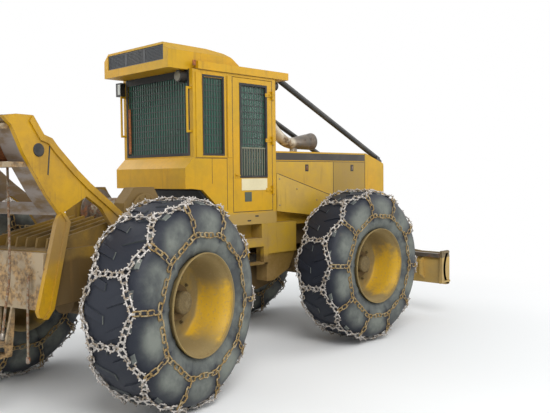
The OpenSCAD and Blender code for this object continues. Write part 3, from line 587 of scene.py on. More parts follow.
@dataclass(frozen=True)
class Rubber(Finish):
    """Tyre rubber with dried mud and road dust, and painted highlight and shade on the walls' bulges.

    Attributes:
        colour: The bare rubber.
        dust: The dust on the walls, also the colour of the painted highlight in the middle of their bulges.
        amount: How dusty it is.
    """

    colour: Colour = shade(29, 33, 43)
    dust: Colour = shade(130, 134, 125)
    amount: float = 0.52

    def lay(self, t: Coat) -> None:
        """Lays rubber under cloudy dust, thicker on the walls than on the tread, with a painted highlight in
        the middle of each bulge and painted shade in the creases at the strands.

        Args:
            t: The material's tree.
        """
        side = t.vector("ABSOLUTE", t.node("ShaderNodeNewGeometry").outputs["Normal"])
        wall = t.spread(t.part(side.outputs[0], 1), 0.25, 0.98)
        cloud = t.spread(t.cloud(3.2, 6.0, 0.62), 0.34, 0.62, 0.3, 1.0)
        # Painted highlight: the swell layer is highest in the middle of each bulge between strands, so the
        # light dust colour lies there, weaker towards the shoulder.
        swell = t.node("ShaderNodeAttribute", {"attribute_name": "swell"}).outputs["Fac"]
        high = t.spread(t.plus(swell, t.times(t.cloud(9.0, 4.0, 0.6), 0.35)), 0.45, 1.2)
        dust = t.times(t.times(cloud, high), wall)
        dust = t.times(dust, self.amount * 1.5, True)
        colour = t.mix(dust, self.colour, self.dust)
        # Painted shade: a dark colour in the creases where the strands press into the wall.
        painted_crease_shade = t.times(t.spread(swell, 0.0, 0.2, 0.5, 0.0), wall)
        colour = t.mix(painted_crease_shade, colour, shade(44, 42, 42))
        mud = t.spread(t.cloud(13.0, 7.0, 0.66), 0.60, 0.76, 0.0, 0.35)
        colour = t.mix(t.times(mud, wall), colour, shade(104, 92, 72))
        t.give("Base Color", colour)
        t.give("Roughness", t.spread(dust, 0.0, 1.0, 0.55, 0.95))
        t.give("Specular IOR Level", 0.3)
        t.bump(t.cloud(44.0, 6.0, 0.65), 0.35, 0.004)


@dataclass(frozen=True)
class BareSteel(Finish):
    """Worn bare steel under rust and dirt.

    Attributes:
        steel: The bright steel.
        rust: The rust's paler colour.
        deep: The rust's darker colour.
        cover: How much of the steel the rust covers.
        scale: How fine its pattern is.
        metal: How metallic the bare places are.
    """

    steel: Colour = shade(150, 142, 130)
    rust: Colour = shade(146, 92, 50)
    deep: Colour = shade(84, 58, 42)
    cover: float = 0.5
    scale: float = 10.0
    metal: float = 0.75

    def lay(self, t: Coat) -> None:
        """Lays steel, rust in clouds and dark grime.

        Args:
            t: The material's tree.
        """
        cloud = t.cloud(self.scale, 7.0, 0.66)
        mask = t.spread(cloud, 0.62 - 0.34 * self.cover, 0.74 - 0.34 * self.cover)
        tone = t.spread(t.cloud(self.scale * 5.0, 5.0, 0.6), 0.34, 0.66)
        colour = t.mix(mask, self.steel, t.mix(tone, self.deep, self.rust))
        grime = t.spread(t.cloud(self.scale * 0.4, 4.0, 0.6), 0.5, 0.75, 0.0, 0.5)
        colour = t.mix(grime, colour, shade(52, 44, 36))
        t.give("Base Color", colour)
        t.give("Metallic", t.times(t.minus(1.0, mask), self.metal))
        t.give("Roughness", t.spread(mask, 0.0, 1.0, 0.38, 0.88))
        t.bump(t.cloud(self.scale * 8.0, 5.0, 0.6), 0.3, 0.002)


@dataclass(frozen=True)
class PipeSteel(BareSteel):
    """Steel of the exhaust: pale on the pipe and brown with soot on the bell.

    Attributes:
        soot_from: Place along the front half where the bell starts.
    """

    soot_from: float = 2.02

    def lay(self, t: Coat) -> None:
        """Lays the steel and the soot.

        Args:
            t: The material's tree.
        """
        super().lay(t)
        plain = t.given("Base Color")
        along = t.part(t.place, 0)
        sooty = t.spread(along, STAND.x + self.soot_from, STAND.x + self.soot_from + 0.06)
        cloud = t.spread(t.cloud(16.0, 5.0, 0.6), 0.35, 0.65)
        brown = t.mix(cloud, shade(92, 74, 58), shade(60, 54, 50))
        t.give("Base Color", t.mix(t.times(sooty, 0.85), plain, brown))


@dataclass(frozen=True)
class TintedGlass(Finish):
    """Tinted safety glass with a film of dust.

    Attributes:
        tint: The colour of the light that comes through.
    """

    tint: Colour = shade(66, 112, 94)

    def lay(self, t: Coat) -> None:
        """Lays clear tinted glass, duller where dust lies.

        Args:
            t: The material's tree.
        """
        film = t.spread(t.cloud(4.0, 6.0, 0.6), 0.4, 0.75)
        t.give("Base Color", t.mix(film, self.tint, shade(76, 104, 90)))
        t.give("Roughness", t.spread(film, 0.0, 1.0, 0.06, 0.3))
        t.give("Transmission Weight", 0.35)
        t.give("IOR", 1.45)


@dataclass(frozen=True)
class Plastic(Finish):
    """Moulded plastic, rubber trim or black paint with a fine grain and dust.

    Attributes:
        colour: The clean surface.
        dust: The dust on it.
        gloss: Roughness of the clean surface.
        amount: How dusty it is.
    """

    colour: Colour = shade(38, 38, 40)
    dust: Colour = shade(128, 116, 96)
    gloss: float = 0.5
    amount: float = 0.35

    def lay(self, t: Coat) -> None:
        """Lays a grained surface with dust on its ledges.

        Args:
            t: The material's tree.
        """
        dirt = t.effect("dirt", {"Amount": self.amount, "Low": 0.1, "High": 1.6}).outputs[0]
        colour = t.mix(dirt, self.colour, self.dust)
        worn = t.effect("edge_wear", {"Width": 0.004, "Amount": 0.5}).outputs[0]
        t.give("Base Color", t.mix(worn, colour, shade(96, 90, 82)))
        t.give("Roughness", t.spread(dirt, 0.0, 1.0, self.gloss, 0.9))
        t.bump(t.cloud(160.0, 3.0, 0.6), 0.2, 0.001)


@dataclass(frozen=True)
class Chrome(Finish):
    """Polished cylinder rod with oily dust."""

    def lay(self, t: Coat) -> None:
        """Lays bright metal with faint smears.

        Args:
            t: The material's tree.
        """
        smear = t.spread(t.noise(t.stretch(t.place, (4.0, 4.0, 30.0)), 1.0, 4.0, 0.6), 0.4, 0.7)
        t.give("Base Color", t.mix(smear, shade(206, 206, 204), shade(140, 130, 116)))
        t.give("Roughness", t.spread(smear, 0.0, 1.0, 0.12, 0.5))
        t.give("Metallic", 1.0)


@dataclass(frozen=True)
class Cloth(Finish):
    """Woven seat cloth.

    Attributes:
        colour: The yarn's main colour.
    """

    colour: Colour = shade(46, 46, 50)

    def lay(self, t: Coat) -> None:
        """Lays a weave of two crossing wave patterns.

        Args:
            t: The material's tree.
        """
        threads = {"Vector": t.place, "Scale": 180.0}
        weave = t.node("ShaderNodeTexWave", {"bands_direction": "X"}, threads).outputs[1]
        cross = t.node("ShaderNodeTexWave", {"bands_direction": "Z"}, threads).outputs[1]
        both = t.times(weave, cross)
        worn = t.spread(t.cloud(6.0, 5.0, 0.6), 0.45, 0.7)
        t.give("Base Color", t.mix(worn, self.colour, shade(92, 86, 76)))
        t.give("Roughness", 0.95)
        t.bump(both, 0.5, 0.002)


YELLOW = Paint("cab_yellow", shade(198, 148, 8), shade(190, 147, 16), shade(144, 114, 44), 0.3, 1.5,
               rust=0.1, dirt_and_shade_below=0.660, mud=shade(154, 130, 78))
PANEL_YELLOW = Paint("panel_yellow", shade(196, 154, 26), shade(184, 147, 42), reach=1.6, rust=0.15,
                     dull_from=1.962)
COVER_YELLOW = Paint("cover_yellow", shade(194, 155, 44), shade(188, 153, 64), dirt=0.5, reach=1.6, rust=0.1)
# Steps and tanks, with dark mud and painted shadow on their lower parts.
STEP_YELLOW = Paint("step_yellow", shade(174, 139, 40), shade(154, 127, 58), dirt=0.75, reach=1.8, rust=0.2,
                    dirt_and_shade_below=0.180)
ARCH_YELLOW = ArchPaint("arch_yellow", shade(190, 145, 10), shade(164, 124, 30), shade(128, 98, 46), 0.7,
                        2.3, 1.0, 0.5)
# Frames, axles, winch case and blade arms, with dark mud and painted shadow on their low parts.
FRAME_YELLOW = Paint("frame_yellow", shade(148, 115, 44), shade(120, 96, 52), shade(96, 78, 50), 0.85, 2.2,
                     1.0, 0.45, 0.6, dirt_and_shade_below=0.400)
BLADE_YELLOW = BladePaint("blade_yellow", shade(194, 158, 80), shade(176, 148, 90), shade(150, 130, 94), 0.4,
                          1.2, 1.0, 0.4, 0.6)
TAN_STEEL = BareSteel("tan_steel", shade(150, 132, 104), shade(168, 136, 92), shade(104, 84, 62), 0.6, 6.0,
                      0.3)
WORN_STEEL = BareSteel("worn_steel", shade(134, 126, 116), cover=0.45, scale=7.0)
RUSTY = BareSteel("rusty_steel", shade(120, 96, 74), shade(172, 100, 44), shade(104, 62, 36), 0.9, 14.0, 0.3)
HUB_STEEL = BareSteel("hub_steel", shade(116, 100, 66), shade(116, 98, 62), shade(94, 80, 52), 0.8, 12.0,
                      0.1)
CHAIN_BRIGHT = BareSteel("tread_chain", shade(186, 180, 174), shade(162, 146, 124), shade(112, 98, 82), 0.4,
                         22.0, 0.5)
CHAIN_RUSTY = BareSteel("side_chain", shade(158, 140, 104), shade(160, 130, 78), shade(106, 88, 56), 0.6,
                        18.0, 0.3)
CABLE = BareSteel("wire_rope", shade(132, 122, 104), shade(138, 96, 60), shade(72, 56, 44), 0.55, 30.0, 0.5)
PIPE = PipeSteel("exhaust_pipe", shade(198, 186, 164), shade(150, 124, 92), shade(84, 70, 58), 0.4, 5.0, 0.1)
BLACK = Plastic("black_paint", shade(40, 39, 37), amount=0.4)
GUARD = Plastic("guard_bars", shade(46, 52, 49), shade(92, 92, 80), 0.6, 0.3)
GUARD_SLATS = Plastic("guard_slats", shade(112, 112, 92), shade(136, 128, 102), 0.6, 0.4)
STRIPE = Plastic("stripe_black", shade(46, 40, 33), gloss=0.6, amount=0.25)
TRIM = Plastic("rubber_trim", shade(30, 31, 32), gloss=0.7, amount=0.3)
LOUVRE = Plastic("louvre_black", shade(56, 59, 62), gloss=0.55, amount=0.2)
PLATE = Plastic("bare_plate", shade(212, 200, 160), shade(150, 132, 96), 0.5, 0.3)
LAMP_GLASS = Plastic("lamp_lens", shade(196, 198, 190), gloss=0.2, amount=0.2)
DIM_LENS = Plastic("lamp_lens_dim", shade(104, 100, 84), gloss=0.25, amount=0.4)
SMALL_PLATE = Plastic("small_plate", shade(66, 74, 60), amount=0.3)
OILY = Plastic("oily_casting", shade(66, 58, 48), shade(84, 72, 54), 0.45, 0.7)
GLASS = TintedGlass("cab_glass")
TYRE = Rubber("tyre_rubber")
RIM = WheelPaint("rim_yellow")
ROD = Chrome("cylinder_rod")
SEAT = Cloth("seat_cloth")


# Mesh tools

def placed(name: str, data: bpy.types.ID) -> bpy.types.Object:
    """Puts an object with its data into the scene.

    Args:
        name: Its name.
        data: Its mesh, camera or lamp.

    Returns:
        The object.
    """
    made = bpy.data.objects.new(name, data)
    bpy.context.scene.collection.objects.link(made)
    return made


class Shape:
    """A mesh being built from measured parts, in metres from the steering pivot."""

    def __init__(self, name: str, half: Half = Half.FRONT) -> None:
        """Starts an empty shape that belongs to one half of the machine."""
        self.name = name
        self.half = half
        self.bm = bmesh.new()

    def box(self, low: Sequence[float], high: Sequence[float], soften: float = 0.0) -> None:
        """Adds a box between two corners, with its edges softened.

        Args:
            low: Its lower corner.
            high: Its upper corner.
            soften: How far its edges are rounded.
        """
        size = [b - a for a, b in zip(low, high)]
        centre = [(a + b) / 2 for a, b in zip(low, high)]
        verts = bmesh.ops.create_cube(self.bm, size=1.0)["verts"]
        bmesh.ops.scale(self.bm, vec=size, verts=verts)
        bmesh.ops.translate(self.bm, vec=centre, verts=verts)
        if soften > 0.0:
            self.bevel((e for v in verts for e in v.link_edges), soften)

    def side_box(self, side: Side, low: Sequence[float], high: Sequence[float], soften: float = 0.0) -> None:
        """Adds a box on one side, from corners written for the left."""
        self.box(*mirrored(side, low, high), soften)

    def bevel(self, edges: Iterable[bmesh.types.BMEdge], soften: float) -> None:
        """Rounds edges off."""
        bmesh.ops.bevel(self.bm, geom=list(set(edges)), offset=soften, segments=2, affect="EDGES",
                        profile=0.6)

    def plate(self, outline: Outline, y0: float, y1: float, soften: float = 0.0,
              crosswise: bool = False) -> None:
        """Adds a plate from its outline in x and z, thick along y.

        Args:
            outline: Corners of its outline.
            y0: Where it begins.
            y1: Where it ends.
            soften: How far its edges are rounded.
            crosswise: Whether the outline is in y and z and it is thick along x.
        """
        loops = [[self.bm.verts.new((y, x, z) if crosswise else (x, y, z)) for x, z in outline]
                 for y in (y0, y1)]
        faces = [self.bm.faces.new(loops[0]), self.bm.faces.new(list(reversed(loops[1])))]
        count = len(outline)
        for i in range(count):
            j = (i + 1) % count
            faces.append(self.bm.faces.new((loops[0][j], loops[0][i], loops[1][i], loops[1][j])))
        bmesh.ops.recalc_face_normals(self.bm, faces=faces)
        if soften > 0.0:
            self.bevel((e for f in faces for e in f.edges), soften)

    def tube(self, path: Route, radius: float | Sequence[float], sides: int = 12,
             closed: bool = False) -> None:
        """Adds a tube along a path.

        Args:
            path: Points of the tube's middle line.
            radius: One radius, or one for each point.
            sides: Sides of the tube's section.
            closed: Whether the last point joins the first.
        """
        rings = self.rings_along(path, radius, sides, closed)
        self.skin(rings, closed)
        if not closed:
            self.bm.faces.new(list(reversed(rings[0])))
            self.bm.faces.new(rings[-1])

    def pipe(self, path: Route, radii: Sequence[float], wall: float, sides: int = 48) -> None:
        """Adds an open pipe along a path, with a wall of even thickness.

        Args:
            path: Points of its middle line.
            radii: Outer radius at each point.
            wall: Thickness of its wall.
            sides: Sides of its section.
        """
        outer = self.rings_along(path, radii, sides)
        inner = self.rings_along(path, [r - wall for r in radii], sides)
        self.skin(outer, False)
        self.skin([list(reversed(ring)) for ring in inner], False)
        for a, b in ((inner[0], outer[0]), (outer[-1], inner[-1])):
            for k in range(sides):
                m = (k + 1) % sides
                self.bm.faces.new((a[k], a[m], b[m], b[k]))

    def skin(self, rings: Sequence[Ring], closed: bool) -> None:
        """Joins rings of vertices with smooth faces.

        Args:
            rings: The rings, in order.
            closed: Whether the last joins the first.
        """
        sides = len(rings[0])
        for a, b in zip(rings, list(rings[1:]) + ([rings[0]] if closed else [])):
            for k in range(sides):
                m = (k + 1) % sides
                self.bm.faces.new((a[k], a[m], b[m], b[k])).smooth = True

    def rings_along(self, path: Route, radius: float | Sequence[float], sides: int,
                    closed: bool = False) -> list[Ring]:
        """Gives the rings of vertices round a path, one for each of its points.

        Args:
            path: The path's points.
            radius: One radius, or one for each point.
            sides: Vertices of a ring.
            closed: Whether the last point joins the first.

        Returns:
            The rings.
        """
        points = [Vector(p) for p in path]
        count = len(points)
        radii = [radius] * count if isinstance(radius, (int, float)) else list(radius)
        rings = []
        side = None
        for i, point in enumerate(points):
            before = points[(i - 1) % count] if closed or i else point
            after = points[(i + 1) % count] if closed or i < count - 1 else point
            along = (after - before).normalized()
            if side is None:
                side = along.cross(Vector((0, 0, 1)))
                if side.length < 0.1:
                    side = along.cross(Vector((0, 1, 0)))
            side = (side - along * side.dot(along)).normalized()
            up = along.cross(side)
            ring = [self.bm.verts.new(point + (side * math.cos(a) + up * math.sin(a)) * radii[i])
                    for a in (2 * math.pi * k / sides for k in range(sides))]
            rings.append(ring)
        return rings

    def turn(self, profile: Outline, centre: Point, axis: str = "Y", steps: int = 48,
             smooth: bool = True, ring: bool = False) -> None:
        """Turns a profile round an axis through a centre.

        Args:
            profile: Radius and distance along the axis of each point.
            centre: Where that distance is 0.
            axis: Name of the axis.
            steps: Faces round the axis.
            smooth: Whether they are shaded smooth.
            ring: Whether the profile is closed.
        """
        rings = []
        for radius, along in profile:
            loop = []
            for k in range(steps):
                a = 2 * math.pi * k / steps
                u, v = radius * math.cos(a), radius * math.sin(a)
                offset = {"X": (along, u, v), "Y": (u, along, v), "Z": (u, v, along)}[axis]
                loop.append(self.bm.verts.new(Vector(centre) + Vector(offset)))
            rings.append(loop)
        faces = []
        for a, b in zip(rings, rings[1:] + (rings[:1] if ring else [])):
            for k in range(steps):
                m = (k + 1) % steps
                face = self.bm.faces.new((a[k], a[m], b[m], b[k]))
                face.smooth = smooth
                faces.append(face)
        for loop in () if ring else (rings[0], rings[-1]):
            faces.append(self.bm.faces.new(loop))
        bmesh.ops.recalc_face_normals(self.bm, faces=faces)

    def pad(self, low: Sequence[float], high: Sequence[float], crown: float = 0.3, cuts: int = 9) -> None:
        """Adds a crowned cushion between two corners, fuller in the middle than at its corners.

        Args:
            low: Its lower corner.
            high: Its upper corner.
            crown: How much its corners fall back.
            cuts: Cuts along each edge.
        """
        before = set(self.bm.verts)
        made = bmesh.ops.create_cube(self.bm, size=2.0)
        edges = list({e for v in made["verts"] for e in v.link_edges})
        bmesh.ops.subdivide_edges(self.bm, edges=edges, cuts=cuts, use_grid_fill=True)
        verts = [v for v in self.bm.verts if v not in before]
        centre = Vector([(a + b) / 2 for a, b in zip(low, high)])
        half = [(b - a) / 2 for a, b in zip(low, high)]
        for vert in verts:
            u = [c * c for c in vert.co]
            pull = [math.sqrt(1 - crown * (u[(k + 1) % 3] + u[(k + 2) % 3]) / 2
                              + crown * u[(k + 1) % 3] * u[(k + 2) % 3] / 3) for k in range(3)]
            vert.co = centre + Vector([vert.co[k] * pull[k] * half[k] for k in range(3)])
        for face in self.bm.faces:
            face.smooth = True

    def grid(self, low: Point, high: Point, columns: int, rows: int, bar: float = 0.007) -> None:
        """Adds a flat grid of bars between two corners, thin along x or along y.

        Args:
            low: Its lower corner.
            high: Its upper corner.
            columns: Openings across.
            rows: Openings upwards.
            bar: Width of a bar.
        """
        along = 1 if high[0] - low[0] < high[1] - low[1] else 0
        inset = 0.0006
        for axis, count in ((along, columns), (2, rows)):
            for k in range(count + 1):
                start, end = list(low), list(high)
                start[axis] = low[axis] + k * (high[axis] - low[axis] - bar) / count
                end[axis] = start[axis] + bar
                if axis == 2:
                    start[1 - along] += inset
                    end[1 - along] -= inset
                self.box(start, end)

    def bolt(self, place: Point, axis: str, radius: float, height: float) -> None:
        """Adds a six-sided bolt head that stands from a place along an axis."""
        self.turn([(radius, 0.0), (radius, height * 0.8), (radius * 0.8, height)], place, axis, 6, False)

    def done(self, body: str, finish: Finish, slot: str, replaces: Sequence[str] = ()) -> bpy.types.Object:
        """Turns the shape into an object that rides on a body.

        Args:
            body: The CAD body that it rides on.
            finish: Its finish.
            slot: The record's material slot; not used.
            replaces: CAD nodes that it stands for.

        Returns:
            The new object.
        """
        mesh = bpy.data.meshes.new(self.name)
        self.bm.transform(self.half.matrix)
        self.bm.to_mesh(mesh)
        self.bm.free()
        made = placed(self.name, mesh)
        mesh.materials.append(finish.material())
        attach(made, body)
        if replaces:
            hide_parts(*replaces)
        LOG.info("%s: %d faces on %s", self.name, len(mesh.polygons), body)
        return made


def mirrored(side: Side, low: Sequence[float], high: Sequence[float]) -> tuple[Point, Point]:
    """Gives a box's corners on one side, from corners written for the left."""
    ys = sorted((low[1] * side.value, high[1] * side.value))
    return (low[0], ys[0], low[2]), (high[0], ys[1], high[2])


# Sub-assemblies

@dataclass
class Wheel:
    """What stands on one axle end.

    Attributes:
        half: The half that carries it.
        side: Its side.
        axle_x: Place of its axle from the steering pivot.
        track: Distance of its middle plane from the centre plane.
    """

    half: Half
    side: Side
    axle_x: float
    track: float = 1.060

    @property
    def word(self) -> str:
        """The wheel's name in node names."""
        return f"{self.half.name.lower()}_{self.side.word}"

    @property
    def body(self) -> str:
        """The CAD body of the wheel."""
        return f"{self.half.name.lower()}_wheel_{self.side.word}"


@dataclass(frozen=True)
class Link:
    """An oval chain link.

    Attributes:
        length: Its length outside.
        wide: Half its width between the middles of its wire.
        wire: Radius of its wire.
        roll: Its turn out of the surface in radians, the next one's turn being the opposite.
        play: How much that turn varies.
    """

    length: float
    wide: float
    wire: float
    roll: float
    play: float


TREAD_LINK = Link(0.074, 0.0225, 0.0075, 0.50, 0.15)
WALL_LINK = Link(0.070, 0.0205, 0.0065, 0.30, 0.12)


@dataclass
class ChainedTyre(Wheel):
    """One tyre with its chain net.

    Attributes:
        radius: Radius over the lugs.
        bead: Radius of its bead.
        lugs: Lugs on each half of the tread.
        cells: Cells of the chain net.
        start: Angle of the net's first strand in degrees.
        path_r: Radius of the chain's middle line on the tread.
        ring_r: Radius of the chain's ring on the wall.
        wall: Distance of that ring from the wheel's middle plane.
        knot: Distance of the tread's knots from that plane.
        apex: Distance of the shoulder's knots from that plane.
        fall: How much lower than the tread's chain those knots lie.
        hook: How far over the ring the strand down the wall bends.
        puff: How far the wall bulges between two strands.
        lug_half: Half a lug's width, in the middle and at the shoulder.
        lug_high: Height of a lug over the carcass.
        lug_slant: How many cells a lug turns for each metre outwards.
        seed: Seed of its small irregularities.
    """

    radius: float = 0.861
    bead: float = 0.418
    lugs: int = 22
    cells: int = 10
    start: float = 5.0
    path_r: float = 0.868
    ring_r: float = 0.600
    wall: float = 0.3095
    knot: float = 0.140
    apex: float = 0.256
    fall: float = 0.028
    hook: float = 0.130
    puff: float = 0.017
    lug_half: Pair = (0.030, 0.042)
    lug_high: float = 0.030
    lug_slant: float = 0.198 / 0.280
    seed: int = 1

    def at(self, turn: float, radius: float, out: float) -> Vector:
        """A place on the wheel, from the angle in cells, radius and distance out."""
        a = 2 * math.pi * turn / self.cells + math.radians(self.start)
        across = self.side.value * (self.track + out)
        return Vector((self.axle_x + radius * math.sin(a), across, radius * math.cos(a)))

    def swell(self, turn: float) -> float:
        """How full the wall is between two strands of the chain, from 0 at a strand to 1."""
        return math.sqrt(abs(math.sin(math.pi * (turn - 0.5))))

    def bulge(self, turn: float, out: float) -> float:
        """How far the wall stands out or in from its section."""
        wall = max(0.0, min(1.0, (abs(out) - 0.16) / 0.12))
        return self.puff * wall * (self.swell(turn) - 0.72)

    def carcass(self) -> None:
        """Builds the rubber: a turned section that swells between the strands, and its lugs."""
        shape = Shape("rubber_" + self.word, self.half)
        layer = shape.bm.verts.layers.float.new("swell")
        section = [
            (self.bead, 0.246), (self.bead + 0.012, 0.262), (self.bead + 0.03, 0.268), (0.470, 0.280),
            (0.520, 0.293), (0.570, 0.300), (0.620, 0.303), (0.670, 0.301), (0.715, 0.295), (0.755, 0.284),
            (0.790, 0.266), (0.815, 0.243), (0.832, 0.212), (0.842, 0.170), (0.848, 0.110), (0.850, 0.0)]
        section += [(r, -o) for r, o in reversed(section[:-1])]
        section += [(self.bead + 0.02, -0.205), (self.bead + 0.02, 0.205)]
        steps = 240
        rings = []
        for k in range(steps):
            turn = self.cells * k / steps
            ring = []
            for r, o in section:
                bulge = self.bulge(turn, o)
                ring.append(shape.bm.verts.new(self.at(turn, r + 0.3 * bulge, o + math.copysign(bulge, o))))
            # The swell layer places the rubber's painted highlight: highest in each bulge's middle, weaker
            # towards the shoulder, and lowest at the strands, where the painted shade of the creases lies.
            for vert, (r, _) in zip(ring, section):
                shoulder = max(0.0, min(1.0, (self.radius - 0.02 - r) / 0.13))
                vert[layer] = 0.8 if r < 0.53 else self.swell(turn) * (0.25 + 0.75 * shoulder)
            rings.append(ring)
        count = len(section)
        faces = []
        for k in range(steps):
            a, b = rings[k], rings[(k + 1) % steps]
            for j in range(count):
                m = (j + 1) % count
                face = shape.bm.faces.new((a[j], a[m], b[m], b[j]))
                face.smooth = True
                faces.append(face)
        bmesh.ops.recalc_face_normals(shape.bm, faces=faces)
        self.add_lugs(shape)
        shape.done(self.body, TYRE, "tyre", ["tyre_" + self.word])

    def add_lugs(self, shape: Shape) -> None:
        """Adds the slanted lugs, which taper and round off towards the shoulder.

        Args:
            shape: The rubber's shape.
        """
        layer = shape.bm.verts.layers.float["swell"]
        pitch = self.cells / self.lugs
        thin, thick = self.lug_half
        stations = [(0.015, 0.0), (0.09, 0.0), (0.17, -0.004), (0.205, -0.012), (0.225, -0.028),
                    (0.238, -0.050)]
        for k in range(self.lugs):
            for way in (1, -1):
                base = (k + (0.0 if way > 0 else 0.5)) * pitch - self.start * self.cells / 360
                rows = []
                for j, (out, fall) in enumerate(stations):
                    turn = base + self.lug_slant * out
                    part = j / (len(stations) - 1)
                    wide = (thin + (thick - thin) * part) / self.radius * self.cells / (2 * math.pi)
                    top = self.radius + fall
                    low = top - self.lug_high
                    corners = ((-wide * 1.25, low), (-wide, top), (wide, top), (wide * 1.25, low))
                    row = [shape.bm.verts.new(self.at(turn + w, r, way * out)) for w, r in corners]
                    for vert in row:
                        vert[layer] = 1.0
                    rows.append(row)
                faces = []
                for a, b in zip(rows, rows[1:]):
                    for m in range(3):
                        faces.append(shape.bm.faces.new((a[m], a[m + 1], b[m + 1], b[m])))
                faces.append(shape.bm.faces.new(rows[0]))
                faces.append(shape.bm.faces.new(rows[-1]))
                bmesh.ops.recalc_face_normals(shape.bm, faces=faces)

    def strands(self) -> list[tuple[Point, Point, bool]]:
        """Lists the net's strands.

        Returns:
            Two places of turn, radius and distance out, and whether they have studs.
        """
        listed = []
        for k in range(self.cells):
            for way in (1, -1):
                knot = (k, self.path_r, way * self.knot)
                apex = (k + 0.5, self.path_r - self.fall, way * self.apex)
                hook = (k + 0.5, self.ring_r + self.hook, way * (self.wall - 0.006))
                low = (k + 0.5, self.ring_r, way * self.wall)
                sag = (k + 1.0, self.ring_r * math.cos(math.pi / self.cells), way * self.wall)
                listed += [(knot, apex, True), (apex, (k + 1, *knot[1:]), True), (apex, hook, False),
                           (hook, low, False), (low, sag, False), (sag, (k + 1.5, *low[1:]), False)]
            listed.append(((k, self.path_r, -self.knot), (k, self.path_r, self.knot), True))
        return listed

    def chain(self) -> None:
        """Builds the net's links: bright ones with studs on the tread, rusty ones on the walls."""
        dice = random.Random(self.seed)
        tread = Shape("tread_chain_" + self.word, self.half)
        wall = Shape("wall_chain_" + self.word, self.half)
        for start, end, on_tread in self.strands():
            self.run_of_links(tread if on_tread else wall, start, end, on_tread, dice)
        tread.done(self.body, CHAIN_BRIGHT, "tyre")
        wall.done(self.body, CHAIN_RUSTY, "tyre")

    def off_tyre(self, turn: float, out: float, on_tread: bool) -> Vector:
        """The way off the tyre at a place on the tread or the wall.

        Args:
            turn: Angle in cells.
            out: Distance from the middle plane.
            on_tread: Whether it is on the tread.

        Returns:
            A direction.
        """
        up = self.at(turn, 1.0, 0.0) - self.at(turn, 0.0, 0.0)
        side = Vector((0.0, self.side.value * math.copysign(1.0, out), 0.0))
        lean = max(0.0, (abs(out) - self.knot) / 0.16) if on_tread else 0.92
        return (up * (1.0 - 0.75 * lean) + side * lean).normalized()

    def run_of_links(self, shape: Shape, start: Point, end: Point, studs: bool, dice: random.Random) -> None:
        """Lays oval links round the tyre from one place to another, each turned against the next.

        Args:
            shape: What the links join.
            start: First place.
            end: Last place.
            studs: Whether they are studded tread links.
            dice: Source of their play.
        """
        link = TREAD_LINK if studs else WALL_LINK
        wide, wire = link.wide, link.wire
        span = (self.at(*end) - self.at(*start)).length
        count = max(2, round(span / (link.length - 2.2 * wire)))

        def place(part: float) -> tuple[float, ...]:
            """Gives a place between the ends."""
            return tuple(a + (b - a) * part for a, b in zip(start, end))

        for k in range(count):
            before, after = self.at(*place(k / count)), self.at(*place((k + 1) / count))
            middle = self.at(*place((k + 0.5) / count))
            turn, _, out = place((k + 0.5) / count)
            along = (after - before).normalized()
            across = along.cross(self.off_tyre(turn, out, studs)).normalized()
            off = across.cross(along).normalized()
            if off.dot(self.off_tyre(turn, out, studs)) < 0.0:
                off = -off
            reach = (after - before).length / 2 + wire * 1.1
            roll = (link.roll if k % 2 else -link.roll) + dice.uniform(-link.play, link.play)
            flat = (across * math.cos(roll) + off * math.sin(roll)).normalized()
            oval = []
            for j in range(10):
                a = 2 * math.pi * j / 10
                push = math.copysign(reach - wide, math.cos(a)) if abs(math.cos(a)) > 0.05 else 0.0
                oval.append(middle + along * (push + wide * 0.9 * math.cos(a)) + flat * (wide * math.sin(a)))
            shape.tube(oval, wire, 6, closed=True)
            if studs:
                for way in (-1, 1):
                    foot = middle + flat * (wide * way)
                    tip = foot + (off * 0.6 + flat * (way * 0.8)).normalized() * 0.021
                    shape.tube([foot, foot.lerp(tip, 0.6), tip], [wire * 0.95, wire * 0.85, wire * 0.4], 5)

    def build(self) -> None:
        """Builds the rubber and the chain."""
        self.carcass()
        self.chain()


